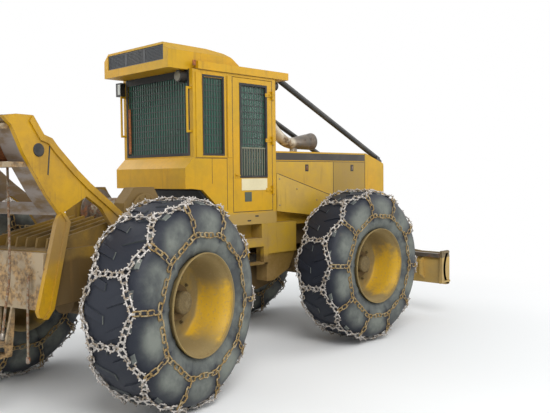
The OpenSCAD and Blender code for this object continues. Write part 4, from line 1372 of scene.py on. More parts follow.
@dataclass
class WheelTrim(Wheel):
    """Rim, bolts, hub end and valve of one wheel.

    Attributes:
        face: Distance of the disc's outer face from the middle plane, inwards negative.
        hub: Distance of the hub's end from that plane.
        bolts: Number of wheel bolts.
        circle: Radius of the circle that they stand on.
    """

    face: float = -0.045
    hub: float = 0.022
    bolts: int = 12
    circle: float = 0.225

    def build(self) -> None:
        """Builds the rim, the bolt ring, the hub cap and the valve."""
        self.rim()
        shape = Shape("wheel_bolts_" + self.word, self.half)
        way = self.side.value
        y = way * (self.track + self.face)
        nut = [(0.016, 0.0), (0.016, 0.010), (0.010, 0.013), (0.010, 0.024), (0.008, 0.026)]
        for k in range(self.bolts):
            a = 2 * math.pi * k / self.bolts
            place = (self.axle_x + self.circle * math.cos(a), y, self.circle * math.sin(a))
            shape.turn([(r, way * out) for r, out in nut], place, "Y", 6, False)
        cap = [(0.097, 0.0), (0.097, 0.070), (0.086, 0.076), (0.05, 0.078)]
        shape.turn([(r, way * out) for r, out in cap], (self.axle_x, way * (self.track + self.hub), 0.0))
        shape.done(self.body, HUB_STEEL, "bare")
        valve = Shape("valve_" + self.word, self.half)
        x, y, z = self.axle_x - 0.11, way * (self.track + 0.115), 0.345
        stem = [(x, y, z), (x, y + way * 0.03, z - 0.004), (x, y + way * 0.06, z - 0.02)]
        valve.tube(stem, [0.012, 0.009, 0.006], 8)
        valve.done(self.body, TRIM, "tyre")

    def rim(self) -> None:
        """Builds the deep rim in place of the plain one, with a painted highlight on its lower front part."""
        profile = [(0.433, 0.308), (0.425, 0.308), (0.423, 0.280), (0.396, 0.258), (0.376, 0.160),
                   (0.362, 0.050), (0.350, -0.020), (0.334, self.face + 0.004), (0.300, self.face),
                   (0.174, self.face), (0.174, self.face - 0.022), (0.300, self.face - 0.024),
                   (0.373, self.face - 0.040), (0.373, -0.280), (0.413, -0.308), (0.433, -0.308),
                   (0.433, -0.290), (0.415, -0.276), (0.415, 0.276), (0.433, 0.290)]
        shape = Shape("rim_shell_" + self.word, self.half)
        layer = shape.bm.verts.layers.float.new("wiped")
        way = self.side.value
        centre = (self.axle_x, way * self.track, 0.0)
        shape.turn([(r, way * out) for r, out in profile], centre, steps=96, ring=True)
        # Painted highlight: this layer is high on the lower front of the dish, where light falls.
        for vert in shape.bm.verts:
            x, z = vert.co.x - self.axle_x, vert.co.z
            radius = math.hypot(x, z)
            wiped = max(0.0, (0.94 * x - 0.34 * z) / radius)
            vert[layer] = 0.9 * wiped ** 2.0 if 0.34 < radius < 0.424 else 0.12
        shape.done(self.body, RIM, "yellow", ["rim_" + self.word])


@dataclass
class DoorWindow:
    """Pane, welded guard and lower slats of one door, in place of the plain ones.

    Attributes:
        side: The door's side.
        x: Rear and front edge of the opening.
        z: Lower and upper edge of the opening.
        face: Half width of the cab.
        columns: Openings of the guard side by side.
        rows: Openings of the guard one over the other.
        bar: Width of a bar.
        slats: Height of the slats over the opening's lower edge.
    """

    side: Side
    x: Pair = (0.270, 0.650)
    z: Pair = (1.051, 2.031)
    face: float = 0.620
    columns: int = 10
    rows: int = 14
    bar: float = 0.008
    slats: float = 0.300

    def build(self) -> None:
        """Builds the pane, the guard, and the slats over its lower third."""
        body, node = self.side.word + "_door", "door_screen_" + self.side.word
        (x0, x1), (z0, z1), y = self.x, self.z, self.face
        pane = Shape("door_pane_" + self.side.word)
        pane.side_box(self.side, (x0 + 0.001, y - 0.034, z0 + 0.001), (x1 - 0.001, y - 0.026, z1 - 0.001))
        pane.done(body, GLASS, "glass", [node])
        guard = Shape("door_guard_" + self.side.word)
        for k in range(self.columns + 1):
            x = x0 + k * (x1 - x0 - self.bar) / self.columns
            guard.side_box(self.side, (x, y - 0.019, z0), (x + self.bar, y - 0.014, z1), 0.0012)
        for k in range(self.rows + 1):
            z = z0 + k * (z1 - z0 - self.bar) / self.rows
            guard.side_box(self.side, (x0, y - 0.0205, z), (x1, y - 0.0155, z + self.bar), 0.0012)
        guard.done(body, GUARD, "glass", [node])
        slats = Shape("door_slats_" + self.side.word)
        top = z0 + self.slats
        for k in range(self.columns):
            x = x0 + (k + 0.5) * (x1 - x0) / self.columns
            slats.side_box(self.side, (x - 0.005, y - 0.0135, z0), (x + 0.005, y - 0.006, top), 0.0015)
        slats.side_box(self.side, (x0, y - 0.014, top + 0.001), (x1, y - 0.006, top + 0.017), 0.0015)
        slats.done(body, GUARD_SLATS, "glass", [node])


@dataclass
class CabDress:
    """Guards, seals, seams, plates, hinges, handles, lenses and seat of the cab.

    Attributes:
        half_width: Half width of the cab.
        rear: Place of its rear face.
        belt: Height of its belt line.
        roof: Height of the roof's underside.
        window_x: Rear and front edge of the side window's seal.
        door_x: Rear and front edge of the door window's seal.
        door_z: Its lower and upper edge.
        rear_y: Half width of the rear window's seal.
        hinges: Heights of a door's hinge straps.
        bolts: Places of the roof's bolts along the cab.
    """

    half_width: float = 0.620
    rear: float = -0.380
    belt: float = 1.251
    roof: float = 2.141
    window_x: Pair = (-0.256, 0.036)
    door_x: Pair = (0.252, 0.667)
    door_z: Pair = (1.036, 2.054)
    rear_y: float = 0.566
    hinges: Sequence[float] = (0.900, 1.450, 1.950)
    bolts: Sequence[float] = (-0.25, 0.05, 0.35, 0.65, 0.93)

    def build(self) -> None:
        """Builds all of the cab's small pieces."""
        for side in Side:
            DoorWindow(side).build()
        self.seals()
        self.guards()
        self.seams()
        self.plates()
        self.doors()
        self.hardware()
        self.seat()

    def seals(self) -> None:
        """Builds the dark rubber frames round the windows."""
        y0, y1 = self.half_width - 0.010, self.half_width + 0.004
        for side in Side:
            shape = Shape("side_seal_" + side.word)
            for low, high in self.frame_bars(*self.window_x, self.belt + 0.020, self.roof - 0.046, 0.020):
                shape.side_box(side, (low[0], y0, low[1]), (high[0], y1, high[1]))
            shape.done("front", TRIM, "dark_plastic")
            door = Shape("door_seal_" + side.word)
            for low, high in self.frame_bars(*self.door_x, *self.door_z, 0.024):
                door.side_box(side, (low[0], y0, low[1]), (high[0], y1, high[1]))
            door.done(side.word + "_door", TRIM, "dark_plastic")
        rear = Shape("rear_seal")
        bars = self.frame_bars(-self.rear_y, self.rear_y, self.belt + 0.016, self.roof - 0.050, 0.028)
        for low, high in bars + [((-self.rear_y, self.roof - 0.052), (self.rear_y, self.roof - 0.001))]:
            rear.box((self.rear - 0.003, low[0], low[1]), (self.rear + 0.004, high[0], high[1]))
        rear.done("front", TRIM, "dark_plastic")
        band = Shape("rear_window_strip")
        foot = self.belt + 0.060
        band.box((self.rear - 0.004, 0.486, foot), (self.rear + 0.006, 0.524, foot + 0.500), 0.002)
        band.done("front", RUSTY, "bare")

    def guards(self) -> None:
        """Builds the steel grids over the fixed windows, in place of the plain bars."""
        rear = Shape("window_grids")
        low, high = self.belt + 0.030, self.roof - 0.060
        rear.grid((self.rear + 0.012, -0.560, low), (self.rear + 0.018, 0.560, high), 26, 12)
        rear.grid((0.799, -0.560, 1.401), (0.805, 0.560, high), 18, 8)
        for side in Side:
            corners = mirrored(side, (-0.240, self.half_width - 0.016, self.belt + 0.035),
                               (0.020, self.half_width - 0.010, self.roof - 0.070))
            rear.grid(*corners, 7, 12)
        rear.done("front", GUARD, "black", ["window_guards"])

    @staticmethod
    def frame_bars(a: float, b: float, low: float, high: float, wide: float) -> list[Span]:
        """Gives the four bars of a frame as corners in two directions."""
        return [((a, low), (b, low + wide)), ((a, high - wide), (b, high)),
                ((a, low + wide), (a + wide, high - wide)), ((b - wide, low + wide), (b, high - wide))]

    def seams(self) -> None:
        """Builds the thin dark gaps between the cab's plates, and the strips on its posts."""
        shape = Shape("cab_seams")
        for side in Side:
            y0, y1 = self.half_width - 0.002, self.half_width + 0.0012
            for x, low, high in ((0.068, 0.70, 2.11), (0.153, 0.668, 2.112), (0.745, 0.668, 2.112)):
                shape.side_box(side, (x - 0.0025, y0, low), (x + 0.0025, y1, high))
            shape.side_box(side, (0.156, y0, 0.6685), (0.742, y1, 0.6725))
            for x, z in ((0.497, 0.614), (0.380, 0.568)):
                shape.side_box(side, (x - 0.025, y0, z - 0.008), (x + 0.025, y1, z + 0.008))
            shape.side_box(side, (self.rear + 0.02, y0, self.roof - 0.003), (0.78, y1, self.roof + 0.002))
            shape.side_box(side, (self.rear + 0.02, y0, self.belt - 0.010), (0.0655, y1, self.belt - 0.005))
            shape.side_box(side, (-0.140, y0, 0.98), (-0.136, y1, self.belt - 0.0105))
            shape.side_box(side, (-0.320, 0.5735, 2.222), (0.290, 0.5755, 2.231))
        shape.done("front", TRIM, "dark_plastic")
        strips = Shape("post_strips")
        for side in Side:
            y0, y1 = self.half_width - 0.002, self.half_width + 0.007
            strips.side_box(side, (0.080, y0, self.belt), (0.142, y1, 2.110), 0.003)
            strips.side_box(side, (-0.345, y0, self.belt), (-0.272, y1, 2.110), 0.003)
            strips.side_box(side, (-0.2715, y0, self.belt), (0.0650, y1, self.belt + 0.018), 0.003)
        strips.done("front", YELLOW, "yellow")

    def plates(self) -> None:
        """Builds the two blank plates on the right door."""
        y = -self.half_width
        shape = Shape("door_plate")
        shape.box((0.272, y - 0.0035, 0.900), (0.660, y, 1.028), 0.0015)
        shape.done("right_door", PLATE, "yellow")
        small = Shape("door_plate_small")
        small.box((0.318, y - 0.003, 0.778), (0.420, y, 0.882), 0.0015)
        small.done("right_door", SMALL_PLATE, "yellow")

    def doors(self) -> None:
        """Builds the doors' handles and their hinge straps."""
        half, thick = self.half_width, 0.007
        for side in Side:
            way = side.value
            y = way * half
            door = Shape("door_handle_" + side.word)
            door.side_box(side, (0.186, half, 1.030), (0.226, half + 0.005, 1.086), 0.002)
            grip = [(0.196, y + way * 0.004, 1.06), (0.196, y + way * 0.026, 1.061),
                    (0.232, y + way * 0.028, 1.062)]
            door.tube(grip, 0.006, 8)
            door.done(side.word + "_door", YELLOW, "yellow")
            straps = Shape("hinge_straps_" + side.word)
            for z in self.hinges:
                straps.side_box(side, (0.640, half, z - 0.020), (0.722, half + thick, z + 0.020), 0.002)
                for x in (0.655, 0.690):
                    straps.bolt((x, y + way * thick, z), "Y", 0.007, way * 0.005)
            straps.done(side.word + "_door", YELLOW, "yellow")

    def hardware(self) -> None:
        """Builds the rear latch, the lamps' lenses and the roof's bolts."""
        latch = Shape("rear_latch")
        latch.box((-0.378, -0.628, self.roof + 0.030), (-0.340, -0.619, self.roof + 0.085), 0.002)
        latch.done("front", RUSTY, "bare")
        lens = Shape("lamp_lens_left")
        lens.box((self.rear - 0.064, 0.590, 1.978), (self.rear - 0.060, 0.640, 2.092), 0.0015)
        lens.done("front", LAMP_GLASS, "glass")
        dim = Shape("lamp_lens_right")
        dim.tube([(self.rear - 0.0805, -0.480, 2.070), (self.rear - 0.0845, -0.480, 2.070)], 0.048, 24)
        dim.done("front", DIM_LENS, "glass")
        roof = Shape("roof_bolts")
        for x in self.bolts:
            for side in Side:
                roof.bolt((x, side.value * (self.half_width - 0.02), self.roof + 0.080), "Z", 0.010, 0.008)
        roof.done("front", WORN_STEEL, "bare")

    def seat(self) -> None:
        """Builds the padded seat over its plain stand-in."""
        base = Shape("seat_base")
        base.box((0.085, -0.175, 0.590), (0.295, 0.175, 0.860), 0.012)
        for y in (-0.270, 0.270):
            base.box((-0.050, y - 0.018, 1.095), (0.250, y + 0.018, 1.155), 0.014)
            base.box((-0.055, y - 0.012, 1.000), (-0.005, y + 0.012, 1.110), 0.004)
        base.done("front", BLACK, "seat", ["seat"])
        pads = [("seat_cushion", (-0.055, -0.245, 0.865), (0.378, 0.245, 0.965)),
                ("seat_back", (-0.112, -0.225, 0.960), (-0.012, 0.225, 1.475)),
                ("seat_headrest", (-0.132, -0.135, 1.480), (-0.055, 0.135, 1.615))]
        for name, low, high in pads:
            shape = Shape(name)
            shape.pad(low, high)
            x, y0, y1 = (low[0] + high[0]) / 2, low[1] * 0.93, high[1] * 0.93
            z0, z1 = (low[2] * (1 - part) + high[2] * part for part in (0.03, 0.97))
            shape.tube([(x, y0, z0), (x, y1, z0), (x, y1, z1), (x, y0, z1)], 0.004, 6, closed=True)
            shape.done("front", SEAT, "seat")


@dataclass
class HoodDress:
    """Stripe, seams and cover bolts of the hood.

    Attributes:
        half_width: Half width of the hood.
        rear: Place of its rear edge.
        top: Height of its top.
        cover: Distance of the lower covers' faces from the middle plane.
        bolts: Places of a cover's bolts.
    """

    half_width: float = 0.500
    rear: float = 0.815
    top: float = 1.341
    cover: float = 0.620
    bolts: Outline = ((0.86, 1.02), (0.86, 0.72), (1.15, 0.90), (1.50, 0.76), (1.78, 0.63))

    def build(self) -> None:
        """Builds the hood's small pieces on both sides."""
        for side in Side:
            self.stripe(side)
        self.seams()

    def stripe(self, side: Side) -> None:
        """Builds the dark stripe under the hood's top edge.

        Args:
            side: The stripe's side.
        """
        shape = Shape("stripe_" + side.word)
        y0, y1 = self.half_width - 0.001, self.half_width + 0.0012
        shape.side_box(side, (self.rear + 0.01, y0, self.top - 0.102), (2.610, y1, self.top - 0.018))
        shape.done("front", STRIPE, "black")

    def seams(self) -> None:
        """Builds dark gaps between hood, panels and nose, and the covers' bolts."""
        shape = Shape("hood_seams")
        y0, y1 = self.half_width - 0.001, self.half_width + 0.001
        for side in Side:
            for x, low, high in ((1.960, 0.482, 1.220), (2.6185, 0.482, 1.335)):
                shape.side_box(side, (x - 0.003, y0, low), (x + 0.003, y1, high))
            shape.side_box(side, (self.rear, y0, 1.222), (2.618, y1, 1.228))
            edge = strip([(0.825, 1.0855), (1.828, 0.7975)], 0.0, -0.007)
            shape.plate(edge, side.value * (self.cover - 0.0005), side.value * (self.cover + 0.0012))
        shape.done("front", TRIM, "dark_plastic")
        bolts = Shape("cover_bolts")
        for side in Side:
            for x, z in self.bolts:
                bolts.bolt((x, side.value * self.cover, z), "Y", 0.009, side.value * 0.006)
        bolts.done("front", WORN_STEEL, "bare")


@dataclass
class BladeDress:
    """Edge frame of the blade's ends and the dark beam along its back.

    Attributes:
        back: Place of the blade's back.
        low: Height of its lower edge.
        half: Half its width.
    """

    back: float = 3.400
    low: float = -0.439
    half: float = 1.220

    def build(self) -> None:
        """Builds the beam and both end frames."""
        beam = Shape("blade_beam")
        for side in Side:
            beam.side_box(side, (self.back - 0.020, 0.66, -0.075),
                          (self.back + 0.060, self.half - 0.032, -0.020), 0.004)
        beam.done("blade_group", WORN_STEEL, "yellow")
        ends = Shape("blade_end_frames")
        for side in Side:
            y0, y1 = self.half - 0.001, self.half + 0.014
            back, front = self.back - 0.056, self.back + 0.156
            ends.side_box(side, (back, y0, self.low + 0.03), (back + 0.030, y1, 0.010), 0.003)
            ends.side_box(side, (back + 0.032, y0, self.low + 0.03), (front, y1, self.low + 0.055), 0.003)
            ends.side_box(side, (back + 0.032, y0, -0.012), (self.back + 0.135, y1, 0.012), 0.003)
        ends.done("blade_group", BLADE_YELLOW, "yellow")


@dataclass
class Exhaust:
    """Bent pipe on the hood that widens to an open bell, in place of the plain one.

    Attributes:
        y: Its distance from the middle plane.
        pipe: Radius of the pipe.
        bell: Radius of the bell's mouth.
        route: Points of the pipe's middle line in x and z.
        mouth: Middle of the bell's mouth in x and z.
        foot: Place of the foot on the hood in x and z.
        wall: Thickness of the pipe's wall.
    """

    y: float = 0.300
    pipe: float = 0.072
    bell: float = 0.118
    route: Outline = ((1.640, 1.725), (1.700, 1.666), (1.769, 1.606), (1.830, 1.560), (1.890, 1.525),
                      (1.950, 1.502), (2.010, 1.488))
    mouth: Pair = (2.444, 1.525)
    foot: Pair = (2.080, 1.341)
    wall: float = 0.008

    def build(self) -> None:
        """Builds the pipe with its bell, and the foot on the hood."""
        shape = Shape("exhaust_pipe")
        path = [(x, self.y, z) for x, z in (*self.route, self.mouth)]
        shape.pipe(path, [self.pipe] * len(self.route) + [self.bell], self.wall)
        x, z = self.foot
        shape.tube([(x, self.y, z), (x, self.y, z + 0.089)], 0.050, 32)
        shape.turn([(0.078, 0.0), (0.078, 0.014), (0.052, 0.016)], (x, self.y, z), "Z", 32)
        shape.done("front", PIPE, "pipe", ["exhaust"])


@dataclass
class SidePanels:
    """Two removable panels on each side of the hood, with latches in recesses.

    Attributes:
        half_width: Half width of the hood.
        ends: Rear edge, joint and front edge of the panels.
        low: Height of their lower edge.
        high: Height of their upper edge.
        latches: Places of the latches.
    """

    half_width: float = 0.500
    ends: tuple[float, float, float] = (0.815, 1.960, 2.618)
    low: float = 0.480
    high: float = 1.222
    latches: Pair = (1.460, 2.340)

    def build(self) -> None:
        """Builds the panels in place of the plain ones, and their latches."""
        panels, pockets, latches = Shape("hood_panels"), Shape("latch_pockets"), Shape("latches")
        y, gap = self.half_width, 0.003
        for side in Side:
            for a, b in zip(self.ends, self.ends[1:]):
                panels.side_box(side, (a + gap, y - 0.020, self.low), (b - gap, y, self.high), 0.003)
            for x in self.latches:
                pockets.side_box(side, (x - 0.030, y - 0.002, 1.105), (x + 0.030, y + 0.001, 1.189), 0.0005)
                latches.side_box(side, (x - 0.012, y, 1.121), (x + 0.012, y + 0.006, 1.173), 0.002)
        panels.done("front", PANEL_YELLOW, "yellow", ["side_panels"])
        pockets.done("front", TRIM, "black")
        latches.done("front", WORN_STEEL, "bare")


@dataclass
class StepSet:
    """Ledge, hangers and tread under each door, in place of the plain steps.

    Attributes:
        cab: Half width of the cab.
        inner: Distance of the tanks' inner side from the middle plane.
        tank: Rear face of the tank.
        sill: Height of the sill's underside.
        ledge: Height of the ledge's underside.
        rear: Rear end of the ledge.
        wall: Thickness of the ledge's walls.
        tread: Height of the lower tread's underside.
    """

    cab: float = 0.620
    inner: float = 0.430
    tank: float = 0.664
    sill: float = 0.526
    ledge: float = 0.271
    rear: float = 0.313
    wall: float = 0.020
    tread: float = 0.070

    def build(self) -> None:
        """Builds the steps of both sides."""
        shape = Shape("step_plates")
        cab, inner, tank, rear, wall = self.cab, self.inner, self.tank, self.rear, self.wall
        foot, tread, top, plate = self.ledge, self.tread, self.ledge + 0.081, self.ledge + 0.095
        boxes = [
            ((rear - 0.013, inner, foot), (tank, inner + wall, self.sill)),
            ((rear, inner + wall, top), (tank, cab, plate)),
            ((rear, cab - wall, foot), (tank, cab, top)),
            ((rear, inner + wall, foot), (rear + 0.017, cab - wall, top)),
            ((tank - 0.080, inner + wall, foot), (tank, cab - wall, top)),
            ((0.571, inner + wall, plate), (tank, cab, self.sill)),
            ((0.600, cab - 0.060, tread), (tank, cab, foot)),
            ((0.356, cab - 0.115, tread), (tank, cab, tread + 0.022)),
            ((0.356, cab - 0.024, tread + 0.022), (0.374, cab, foot)),
        ]
        for side in Side:
            for low, high in boxes:
                shape.side_box(side, low, high, 0.002)
        shape.done("front", STEP_YELLOW, "yellow", ["steps"])


@dataclass
class BladeShell:
    """Curved blade with its cutting edge, end plates, ribs and taller middle, in place of the plain one.

    Attributes:
        back: Place of the blade's back.
        low: Height of its lower edge.
        high: Height of its side parts' upper edge.
        middle_high: Height of the middle part's upper edge.
        half: Half its width.
        curve: Radius of the blade's face.
        thick: Its thickness.
    """

    back: float = 3.400
    low: float = -0.439
    high: float = -0.009
    middle_high: float = 0.421
    half: float = 1.220
    curve: float = 0.330
    thick: float = 0.050

    def arc(self, radius: float) -> list[Pair]:
        """Gives points of an arc round the blade's centre line, from its lower to its upper edge.

        Args:
            radius: The arc's radius.

        Returns:
            Points in x and z.
        """
        middle, reach = (self.low + self.high) / 2, (self.high - self.low) / 2
        centre = self.back + self.thick + self.curve
        heights = [-reach + 2 * reach * k / 16 for k in range(17)]
        return [(centre - math.sqrt(radius ** 2 - h ** 2), middle + h) for h in heights]

    def build(self) -> None:
        """Builds the blade."""
        back, low, high, half = self.back, self.low, self.high, self.half
        middle = (low + high) / 2
        shape = Shape("blade_shell")
        shape.plate(self.arc(self.curve) + self.arc(self.curve + self.thick)[::-1], -half, half)
        edge = [(back + 0.096, low), (back + 0.150, low), (back + 0.134, low + 0.060),
                (back + 0.080, low + 0.060)]
        shape.plate(edge, -half, half, 0.002)
        end = [(back - 0.060, low + 0.020), (back + 0.160, low), (back + 0.160, low + 0.380),
               (back + 0.140, high + 0.030), (back - 0.040, high + 0.030)]
        rib = [(back - 0.080, middle - 0.090), (back + 0.040, middle - 0.160),
               (back + 0.040, middle + 0.160), (back - 0.080, middle + 0.100)]
        for side in Side:
            shape.plate(end, side.value * (half - 0.030), side.value * half, 0.003)
            for y in (0.300, 0.900):
                shape.plate(rib, side.value * y - 0.012, side.value * y + 0.012, 0.002)
        top = [(-half + 0.001, high - 0.040), (-0.620, high + 0.020), (-0.560, self.middle_high),
               (0.560, self.middle_high), (0.620, high + 0.020), (half - 0.001, high - 0.040)]
        shape.plate(top, back + 0.088, back + 0.128, 0.003, crosswise=True)
        shape.done("blade_group", BLADE_YELLOW, "yellow", ["blade"])


def strip(points: Outline, dx: float, dz: float) -> list[Pair]:
    """Gives the outline of a strip along a row of points, as wide as one step."""
    return list(points) + [(x + dx, z + dz) for x, z in reversed(points)]


@dataclass
class ArchDress:
    """Raised edges, inner flanges, grease slots and pin caps of the arch.

    Attributes:
        outer: Distance of the plates' outer faces from the middle plane.
        inner: Distance of their inner faces.
        edge: How far the raised edges stand out.
        pin: Place of the top roller's pin in x and z.
        boom_top: Outline of the boom's upper edge in x and z.
        boom_rear: Outline of its rear edge.
        leg_front: Outline of the front leg's front edge.
    """

    outer: float = 0.480
    inner: float = 0.440
    edge: float = 0.012
    pin: Pair = (-2.480, 1.270)
    boom_top: Outline = (
        (-2.530, 1.529), (-2.430, 1.389), (-2.350, 1.364), (-2.290, 1.299), (-2.090, 1.119), (-1.950, 1.009),
        (-1.690, 0.829), (-1.590, 0.759), (-1.250, 0.480))
    boom_rear: Outline = ((-2.800, 1.511), (-2.720, 1.441), (-2.620, 1.241), (-2.410, 0.921),
                          (-2.280, 0.771))
    leg_front: Outline = ((-2.240, 0.781), (-2.180, 0.700), (-2.370, 0.030), (-2.435, -0.040))

    def build(self) -> None:
        """Builds the edges, the flanges, the slots and the caps."""
        edges, slots = Shape("arch_edges", Half.REAR), Shape("arch_slots", Half.REAR)
        for side in Side:
            way = side.value
            for outline in (strip(self.boom_top, -0.036, -0.044), strip(self.leg_front, -0.042, 0.006)):
                edges.plate(outline, way * (self.outer - 0.001), way * (self.outer + self.edge), 0.002)
            edges.plate(strip(self.boom_rear, 0.032, 0.010), way * 0.260, way * (self.inner + 0.001), 0.002)
            slot = [(-2.372, 1.350), (-2.360, 1.346), (-2.389, 1.077), (-2.401, 1.081)]
            slots.plate(slot, way * (self.outer - 0.002), way * (self.outer + 0.0015))
            slots.turn([(0.052, way * -0.002), (0.052, way * 0.004), (0.044, way * 0.007)],
                       (self.pin[0], way * self.outer, self.pin[1]), "Y", 32)
        edges.done("rear", ARCH_YELLOW, "yellow")
        slots.done("rear", TRIM, "dark_plastic")


@dataclass
class WinchDress:
    """Rope on the drum, round covers on the case and ribs on the rear deck.

    Attributes:
        x: Place of the drum's axis.
        z: Its height.
        core: Radius of the drum's core.
        half: Half width of the drum.
        rope: Radius of the rope.
        side: Distance of the case's inner faces from the middle plane.
        ribs: Number of ribs on the deck.
        pitch: Distance between two ribs.
    """

    x: float = -1.150
    z: float = 0.720
    core: float = 0.130
    half: float = 0.200
    rope: float = 0.009
    side: float = 0.250
    ribs: int = 7
    pitch: float = 0.120

    def build(self) -> None:
        """Builds the rope, the covers and the ribs."""
        self.winding()
        self.covers()
        self.deck()

    def winding(self) -> None:
        """Builds the rope's winding on the drum."""
        turns = int(self.half / self.rope)
        rope = Shape("winch_rope", Half.REAR)
        steps = turns * 40
        path = []
        for k in range(steps + 1):
            a = 2 * math.pi * k / 40
            y = -self.half + self.rope + 2 * (self.half - self.rope) * k / steps
            path.append((self.x + self.core * math.cos(a), y, self.z + self.core * math.sin(a)))
        rope.tube(path, self.rope, 8)
        rope.done("drum", CABLE, "bare")

    def covers(self) -> None:
        """Builds the round cover with its bolts on each side of the case."""
        circle = 0.158
        covers = Shape("winch_covers", Half.REAR)
        for side in Side:
            way = side.value
            y = way * (self.side + 0.119)
            centre = (self.x, y, self.z)
            covers.turn([(0.185, 0.0), (0.185, way * 0.022), (0.178, way * 0.027)], centre, steps=64)
            covers.turn([(0.070, way * 0.026), (0.070, way * 0.038), (0.064, way * 0.042)], centre)
            for k in range(12):
                a = math.pi * k / 6
                place = (self.x + circle * math.cos(a), y + way * 0.026, self.z + circle * math.sin(a))
                covers.bolt(place, "Y", 0.011, way * 0.008)
        covers.done("rear", FRAME_YELLOW, "yellow")

    def deck(self) -> None:
        """Builds the ribs on the rear deck."""
        ribs = Shape("deck_ribs", Half.REAR)
        outline = [(self.x - 0.280, 0.479), (self.x - 0.280, 0.700), (-2.200, 0.560), (-2.220, 0.479)]
        for k in range(self.ribs):
            y = self.pitch * (k - (self.ribs - 1) / 2)
            ribs.plate(outline, y - 0.010, y + 0.010, 0.002)
        ribs.done("rear", FRAME_YELLOW, "yellow")


@dataclass
class ButtPlate:
    """Plate across the tail with the drawbar's bracket and the eye of the short choker.

    Attributes:
        x: Place of the plate's front face.
        half: Half its width.
        pin_x: Place of the drawbar's pin.
        levels: Heights of the two hitch plates' middles.
    """

    x: float = -2.380
    half: float = 0.435
    pin_x: float = -2.620
    levels: Pair = (-0.360, -0.270)

    def build(self) -> None:
        """Builds the plate, the bracket and the eye, in place of the plain plate."""
        shape = Shape("tail_plate", Half.REAR)
        x = self.x
        shape.plate([(x, 0.040), (x, 0.470), (x - 0.040, 0.470), (x - 0.062, 0.020), (x - 0.022, 0.020)],
                    -self.half, self.half, 0.004)
        shape.box((x - 0.084, -0.312, 0.296), (x - 0.040, -0.288, 0.340), 0.003)
        for z in self.levels:
            shape.box((self.pin_x + 0.040, -0.090, z - 0.010), (x - 0.075, 0.090, z + 0.010), 0.003)
            profile = [(0.025, z - 0.010), (0.062, z - 0.010), (0.062, z + 0.010), (0.025, z + 0.010)]
            shape.turn(profile, (self.pin_x, 0.0, 0.0), "Z", 48, ring=True)
        cheek = [(x - 0.030, 0.030), (x - 0.060, 0.030), (x - 0.130, -0.250), (x - 0.130, -0.372),
                 (x - 0.075, -0.372), (x - 0.050, -0.200)]
        for way in (-1, 1):
            shape.plate(cheek, way * 0.068, way * 0.090, 0.003)
        shape.done("rear", TAN_STEEL, "yellow", ["butt_plate"])


@dataclass
class DriveShafts:
    """Drive shafts from the gearbox to both axles, with their joints.

    Attributes:
        shaft: Radius of a shaft.
        yoke: Radius of a joint.
    """

    shaft: float = 0.032
    yoke: float = 0.050

    def build(self) -> None:
        """Builds the shafts of both halves."""
        front = Shape("shafts_front")
        self.lay(front, (0.064, 0.0, 0.180), (0.700, 0.0, 0.180))
        self.lay(front, (1.240, 0.0, 0.160), (1.500, 0.0, 0.020))
        front.done("front", OILY, "black")
        rear = Shape("shafts_rear", Half.REAR)
        self.lay(rear, (-0.064, 0.0, 0.150), (-1.312, 0.0, 0.010))
        rear.done("rear", OILY, "black")

    def lay(self, shape: Shape, start: Point, end: Point) -> None:
        """Adds one shaft with a joint at each end.

        Args:
            shape: What it joins.
            start: Its first end.
            end: Its other end.
        """
        a, b = Vector(start), Vector(end)
        way = (b - a).normalized()
        stations = [(0.0, self.yoke), (0.055, self.yoke), (0.065, self.shaft)]
        path = [a + way * d for d, _ in stations] + [b - way * d for d, _ in reversed(stations)]
        shape.tube(path, [r for _, r in stations] + [r for _, r in reversed(stations)], 24)


@dataclass
class Choker:
    """One free choker cable that hangs from the machine, with a ferrule on its end.

    Attributes:
        name: Its name.
        points: Points of its route from the steering pivot.
        steps: Steps between two points.
        length: Its length; not used.
        radius: Its radius.
    """

    name: str
    points: Sequence[Point]
    steps: int
    length: float
    radius: float = 0.010

    def way(self) -> list[Vector]:
        """Gives its route, a smooth curve through the points.

        Returns:
            Points from the steering pivot.
        """
        listed = [Vector(p) for p in self.points]
        last = len(listed) - 1
        route = []
        for i in range(last):
            a, b, c, d = listed[max(i - 1, 0)], listed[i], listed[i + 1], listed[min(i + 2, last)]
            for k in range(self.steps):
                t = k / self.steps
                route.append(0.5 * (2 * b + (c - a) * t + (2 * a - 5 * b + 4 * c - d) * t * t
                                    + (3 * b - a - 3 * c + d) * t ** 3))
        return route + [listed[last]]

    def build(self) -> None:
        route = self.way()
        shape = Shape(self.name + "_rope", Half.REAR)
        shape.tube(route, self.radius, 16)
        rope = shape.done("rear", CABLE, "bare")
        end, before = route[-1], route[-2]
        down = (end - before).normalized()
        sleeve = Shape(self.name + "_ferrule", Half.REAR)
        sleeve.tube([end - down * 0.055, end - down * 0.050, end - down * 0.012, end - down * 0.002],
                    [self.radius * 1.1, self.radius * 1.7, self.radius * 1.7, self.radius * 1.3], 16)
        ferrule = sleeve.done("rear", WORN_STEEL, "bare")
        path = [Half.REAR.matrix @ p for p in route]
        measured = sum((b - a).length for a, b in zip(path, path[1:]))
        LOG.info("%s: %.4f m along its points", self.name, measured)


CHOKERS = [
    Choker("choker_head", [
        (-2.500, -0.150, 1.140), (-2.500, -0.150, 0.800), (-2.505, -0.152, 0.480),
        (-2.520, -0.155, 0.240), (-2.565, -0.160, 0.030), (-2.610, -0.170, -0.200),
    ], 7, 1.35),
    Choker("choker_tail", [
        (-2.452, -0.300, 0.300), (-2.464, -0.300, 0.100), (-2.472, -0.301, -0.110), (-2.480, -0.304, -0.399),
    ], 5, 0.70),
]


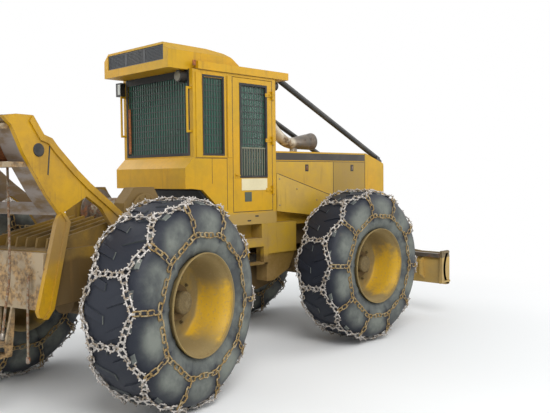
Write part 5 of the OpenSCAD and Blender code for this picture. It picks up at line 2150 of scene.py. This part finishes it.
@dataclass
class PinKeepers:
    """Keeper bolts on the steering pivot's two pins.

    Attributes:
        tops: Heights of the pins' tops.
        circle: Radius of the circle that the bolts stand on.
    """

    tops: Pair = (0.467, -0.043)
    circle: float = 0.055

    def build(self) -> None:
        """Builds four bolts on each pin."""
        pins = Shape("pin_keepers")
        for z in self.tops:
            for k in range(4):
                a = math.pi / 4 + k * math.pi / 2
                pins.bolt((self.circle * math.cos(a), self.circle * math.sin(a), z), "Z", 0.007, 0.005)
        pins.done("front", WORN_STEEL, "bare")


NODE_FINISH: dict[str, Finish] = {
    "front_frame": FRAME_YELLOW, "front_axle": FRAME_YELLOW, "engine_block": OILY, "hood": YELLOW,
    "side_panels": PANEL_YELLOW, "lower_covers": COVER_YELLOW, "grille": BLACK, "limb_risers": BLACK,
    "cab_frame": YELLOW, "cab_walls": YELLOW, "cab_floor": TRIM, "cab_roof": YELLOW, "roof_louvre": LOUVRE,
    "cab_glass": GLASS, "console": BLACK, "tanks": STEP_YELLOW, "steps": STEP_YELLOW, "lamps": BLACK,
    "grab_handles": YELLOW, "pivot_pins": WORN_STEEL, "rear_frame": FRAME_YELLOW, "rear_axle": FRAME_YELLOW,
    "arch": ARCH_YELLOW, "winch_case": FRAME_YELLOW, "butt_plate": TAN_STEEL, "fairlead_frame": TAN_STEEL,
    "winch_drum": WORN_STEEL, "roller_top": RUSTY, "roller_left": RUSTY, "roller_right": RUSTY,
    "door_right": YELLOW, "door_left": YELLOW, "door_screen_right": GLASS, "door_screen_left": GLASS,
    "blade": BLADE_YELLOW, "blade_arms": FRAME_YELLOW, "exhaust": PIPE, "window_guards": GUARD, "seat": SEAT,
}


def dress_nodes() -> None:
    """Gives every CAD node its finish."""
    for name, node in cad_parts.items():
        finish = NODE_FINISH.get(name)
        if name.startswith("rim_"):
            finish = RIM
        elif name.startswith("tyre_"):
            finish = TYRE
        elif "_barrel_" in name:
            finish = BLACK
        elif "_rod_" in name:
            finish = ROD
        if finish is None:
            LOG.warning("no finish for %s", name)
            continue
        material = finish.material()
        node.data.materials.clear()
        node.data.materials.append(material)
        LOG.info("%s: %s", name, material.name)


# Studio and order of building

@dataclass(frozen=True)
class Lamp:
    """A broad lamp that looks at a point over the middle of the floor.

    Attributes:
        name: Its name.
        place: Where it stands.
        power: Its power in watts.
        aim: Height of the point that it looks at.
        size: Its width.
    """

    name: str
    place: Point
    power: float
    aim: float = 1.0
    size: float = 6.0


LAMPS = [Lamp("key", (-5.0, -8.5, 8.5), 900.0, 1.2), Lamp("fill", (8.0, -5.0, 5.0), 260.0),
         Lamp("back", (-3.0, 8.0, 7.0), 300.0), Lamp("rear", (-10.0, 2.0, 3.5), 130.0)]


@dataclass
class Studio:
    """Floor, light and the photograph's camera.

    Attributes:
        eye: Place of the camera in the row frame.
        yaw: Its heading in degrees from +X.
        pitch: Its tilt in degrees, up positive.
        roll: Its roll in degrees.
        focal: Focal length in pixels.
        picture: Width of the photograph in pixels.
        sensor: Width of the camera's sensor in millimetres.
        floor_half: Half width of the floor.
        fade_from: Distance from the object where the floor starts to turn white.
        fade_to: Distance where the floor is white.
    """

    eye: Point = (-4.736 + STAND.x, -6.046 + STAND.y, 1.058 + STAND.axle_z)
    yaw: float = 44.52
    pitch: float = -2.59
    roll: float = -0.55
    focal: float = 684.4
    picture: float = 550.0
    sensor: float = 36.0
    floor_half: float = 60.0
    fade_from: float = 3.4
    fade_to: float = 7.5

    def camera(self) -> None:
        """Places the camera where the photograph was taken."""
        data = bpy.data.cameras.new("camera")
        data.sensor_width = self.sensor
        data.lens = self.sensor * self.focal / self.picture
        data.clip_start = 0.05
        data.clip_end = 200.0
        made = placed("camera", data)
        yaw, pitch, roll = (math.radians(v) for v in (self.yaw, self.pitch, self.roll))
        forward = Vector((math.cos(yaw) * math.cos(pitch), math.sin(yaw) * math.cos(pitch), math.sin(pitch)))
        right = Vector((math.sin(yaw), -math.cos(yaw), 0.0))
        up = right.cross(forward)
        tilted = right * math.cos(roll) + up * math.sin(roll)
        above = up * math.cos(roll) - right * math.sin(roll)
        turn = Matrix((tilted, above, -forward)).transposed().to_4x4()
        made.matrix_world = Matrix.Translation(self.eye) @ turn
        bpy.context.scene.camera = made

    def floor(self) -> None:
        """Lays a pale floor that the camera sees as white and that keeps the shadow."""
        mesh = bpy.data.meshes.new("floor")
        half = self.floor_half
        corners = [(-half, -half, 0), (half, -half, 0), (half, half, 0), (-half, half, 0)]
        mesh.from_pydata(corners, [], [(0, 1, 2, 3)])
        made = placed("floor", mesh)
        material = bpy.data.materials.new("floor_pale")
        material.use_nodes = True
        tree = Tree(material.node_tree)
        shader = material.node_tree.nodes["Principled BSDF"]
        shader.inputs["Base Color"].default_value = (0.86, 0.86, 0.85, 1.0)
        shader.inputs["Roughness"].default_value = 0.9
        away = tree.vector("LENGTH", tree.node("ShaderNodeTexCoord").outputs["Object"])
        white = tree.node("ShaderNodeEmission", None, {"Color": (1.0, 1.0, 1.0), "Strength": 1.0})
        seen = tree.node("ShaderNodeLightPath").outputs["Is Camera Ray"]
        far = tree.times(tree.spread(away.outputs["Value"], self.fade_from, self.fade_to), seen)
        both = tree.node("ShaderNodeMixShader", None, {0: far, 1: shader.outputs[0], 2: white.outputs[0]})
        tree.feed(material.node_tree.nodes["Material Output"].inputs[0], both.outputs[0])
        mesh.materials.append(material)
        made.location.z = -0.001
        made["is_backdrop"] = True

    def light(self) -> None:
        """Sets a soft even sky and the lamps, with a white background."""
        world = bpy.data.worlds.new("sky")
        bpy.context.scene.world = world
        world.use_nodes = True
        tree = Tree(world.node_tree)
        world.node_tree.nodes.clear()
        path = tree.node("ShaderNodeLightPath")
        seen = tree.maths("MAXIMUM", path.outputs["Is Camera Ray"], path.outputs["Is Glossy Ray"])
        seen = tree.maths("MAXIMUM", seen, path.outputs["Is Transmission Ray"])
        soft = tree.node("ShaderNodeBackground", None, {"Color": (0.92, 0.96, 1.0), "Strength": 0.62})
        white = tree.node("ShaderNodeBackground", None, {"Color": (1.0, 1.0, 1.0), "Strength": 1.0})
        both = tree.node("ShaderNodeMixShader", None, {0: seen, 1: soft.outputs[0], 2: white.outputs[0]})
        end = tree.node("ShaderNodeOutputWorld")
        tree.feed(end.inputs[0], both.outputs[0])
        for lamp in LAMPS:
            data = bpy.data.lights.new(lamp.name, "AREA")
            data.energy = lamp.power
            data.size = lamp.size
            made = placed(lamp.name, data)
            made.location = lamp.place
            aim = Vector((0.0, 0.0, lamp.aim)) - Vector(lamp.place)
            made.rotation_euler = aim.to_track_quat("-Z", "Y").to_euler()

    def build(self) -> None:
        """Builds the studio."""
        bpy.context.scene.view_settings.view_transform = "Standard"
        self.camera()
        self.floor()
        self.light()


def save_sizes() -> None:
    """Lists the CAD box and the dressed model's box as plain numbers, and keeps neither."""
    def plain(box: Sequence) -> list:
        """Gives a box as plain lists."""
        return [[float(v) for v in corner] for corner in box]
    {"cad": plain(CAD_BOX), "visual": plain(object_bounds())}


def main() -> None:
    """Builds the studio and every sub-assembly, in order."""
    logging.basicConfig(level=logging.INFO, format="%(name)s %(message)s")
    Studio().build()
    for choker in CHOKERS:
        choker.build()
    dress_nodes()
    wheels = [(Half.FRONT, 1.757), (Half.REAR, -1.569)]
    for number, (half, axle_x) in enumerate(wheels):
        for side in Side:
            ChainedTyre(half, side, axle_x, seed=11 + 2 * number + side.value).build()
            WheelTrim(half, side, axle_x).build()
    CabDress().build()
    SidePanels().build()
    HoodDress().build()
    Exhaust().build()
    StepSet().build()
    BladeShell().build()
    BladeDress().build()
    ArchDress().build()
    WinchDress().build()
    ButtPlate().build()
    DriveShafts().build()
    PinKeepers().build()
    save_sizes()


if __name__ == "__main__":
    main()
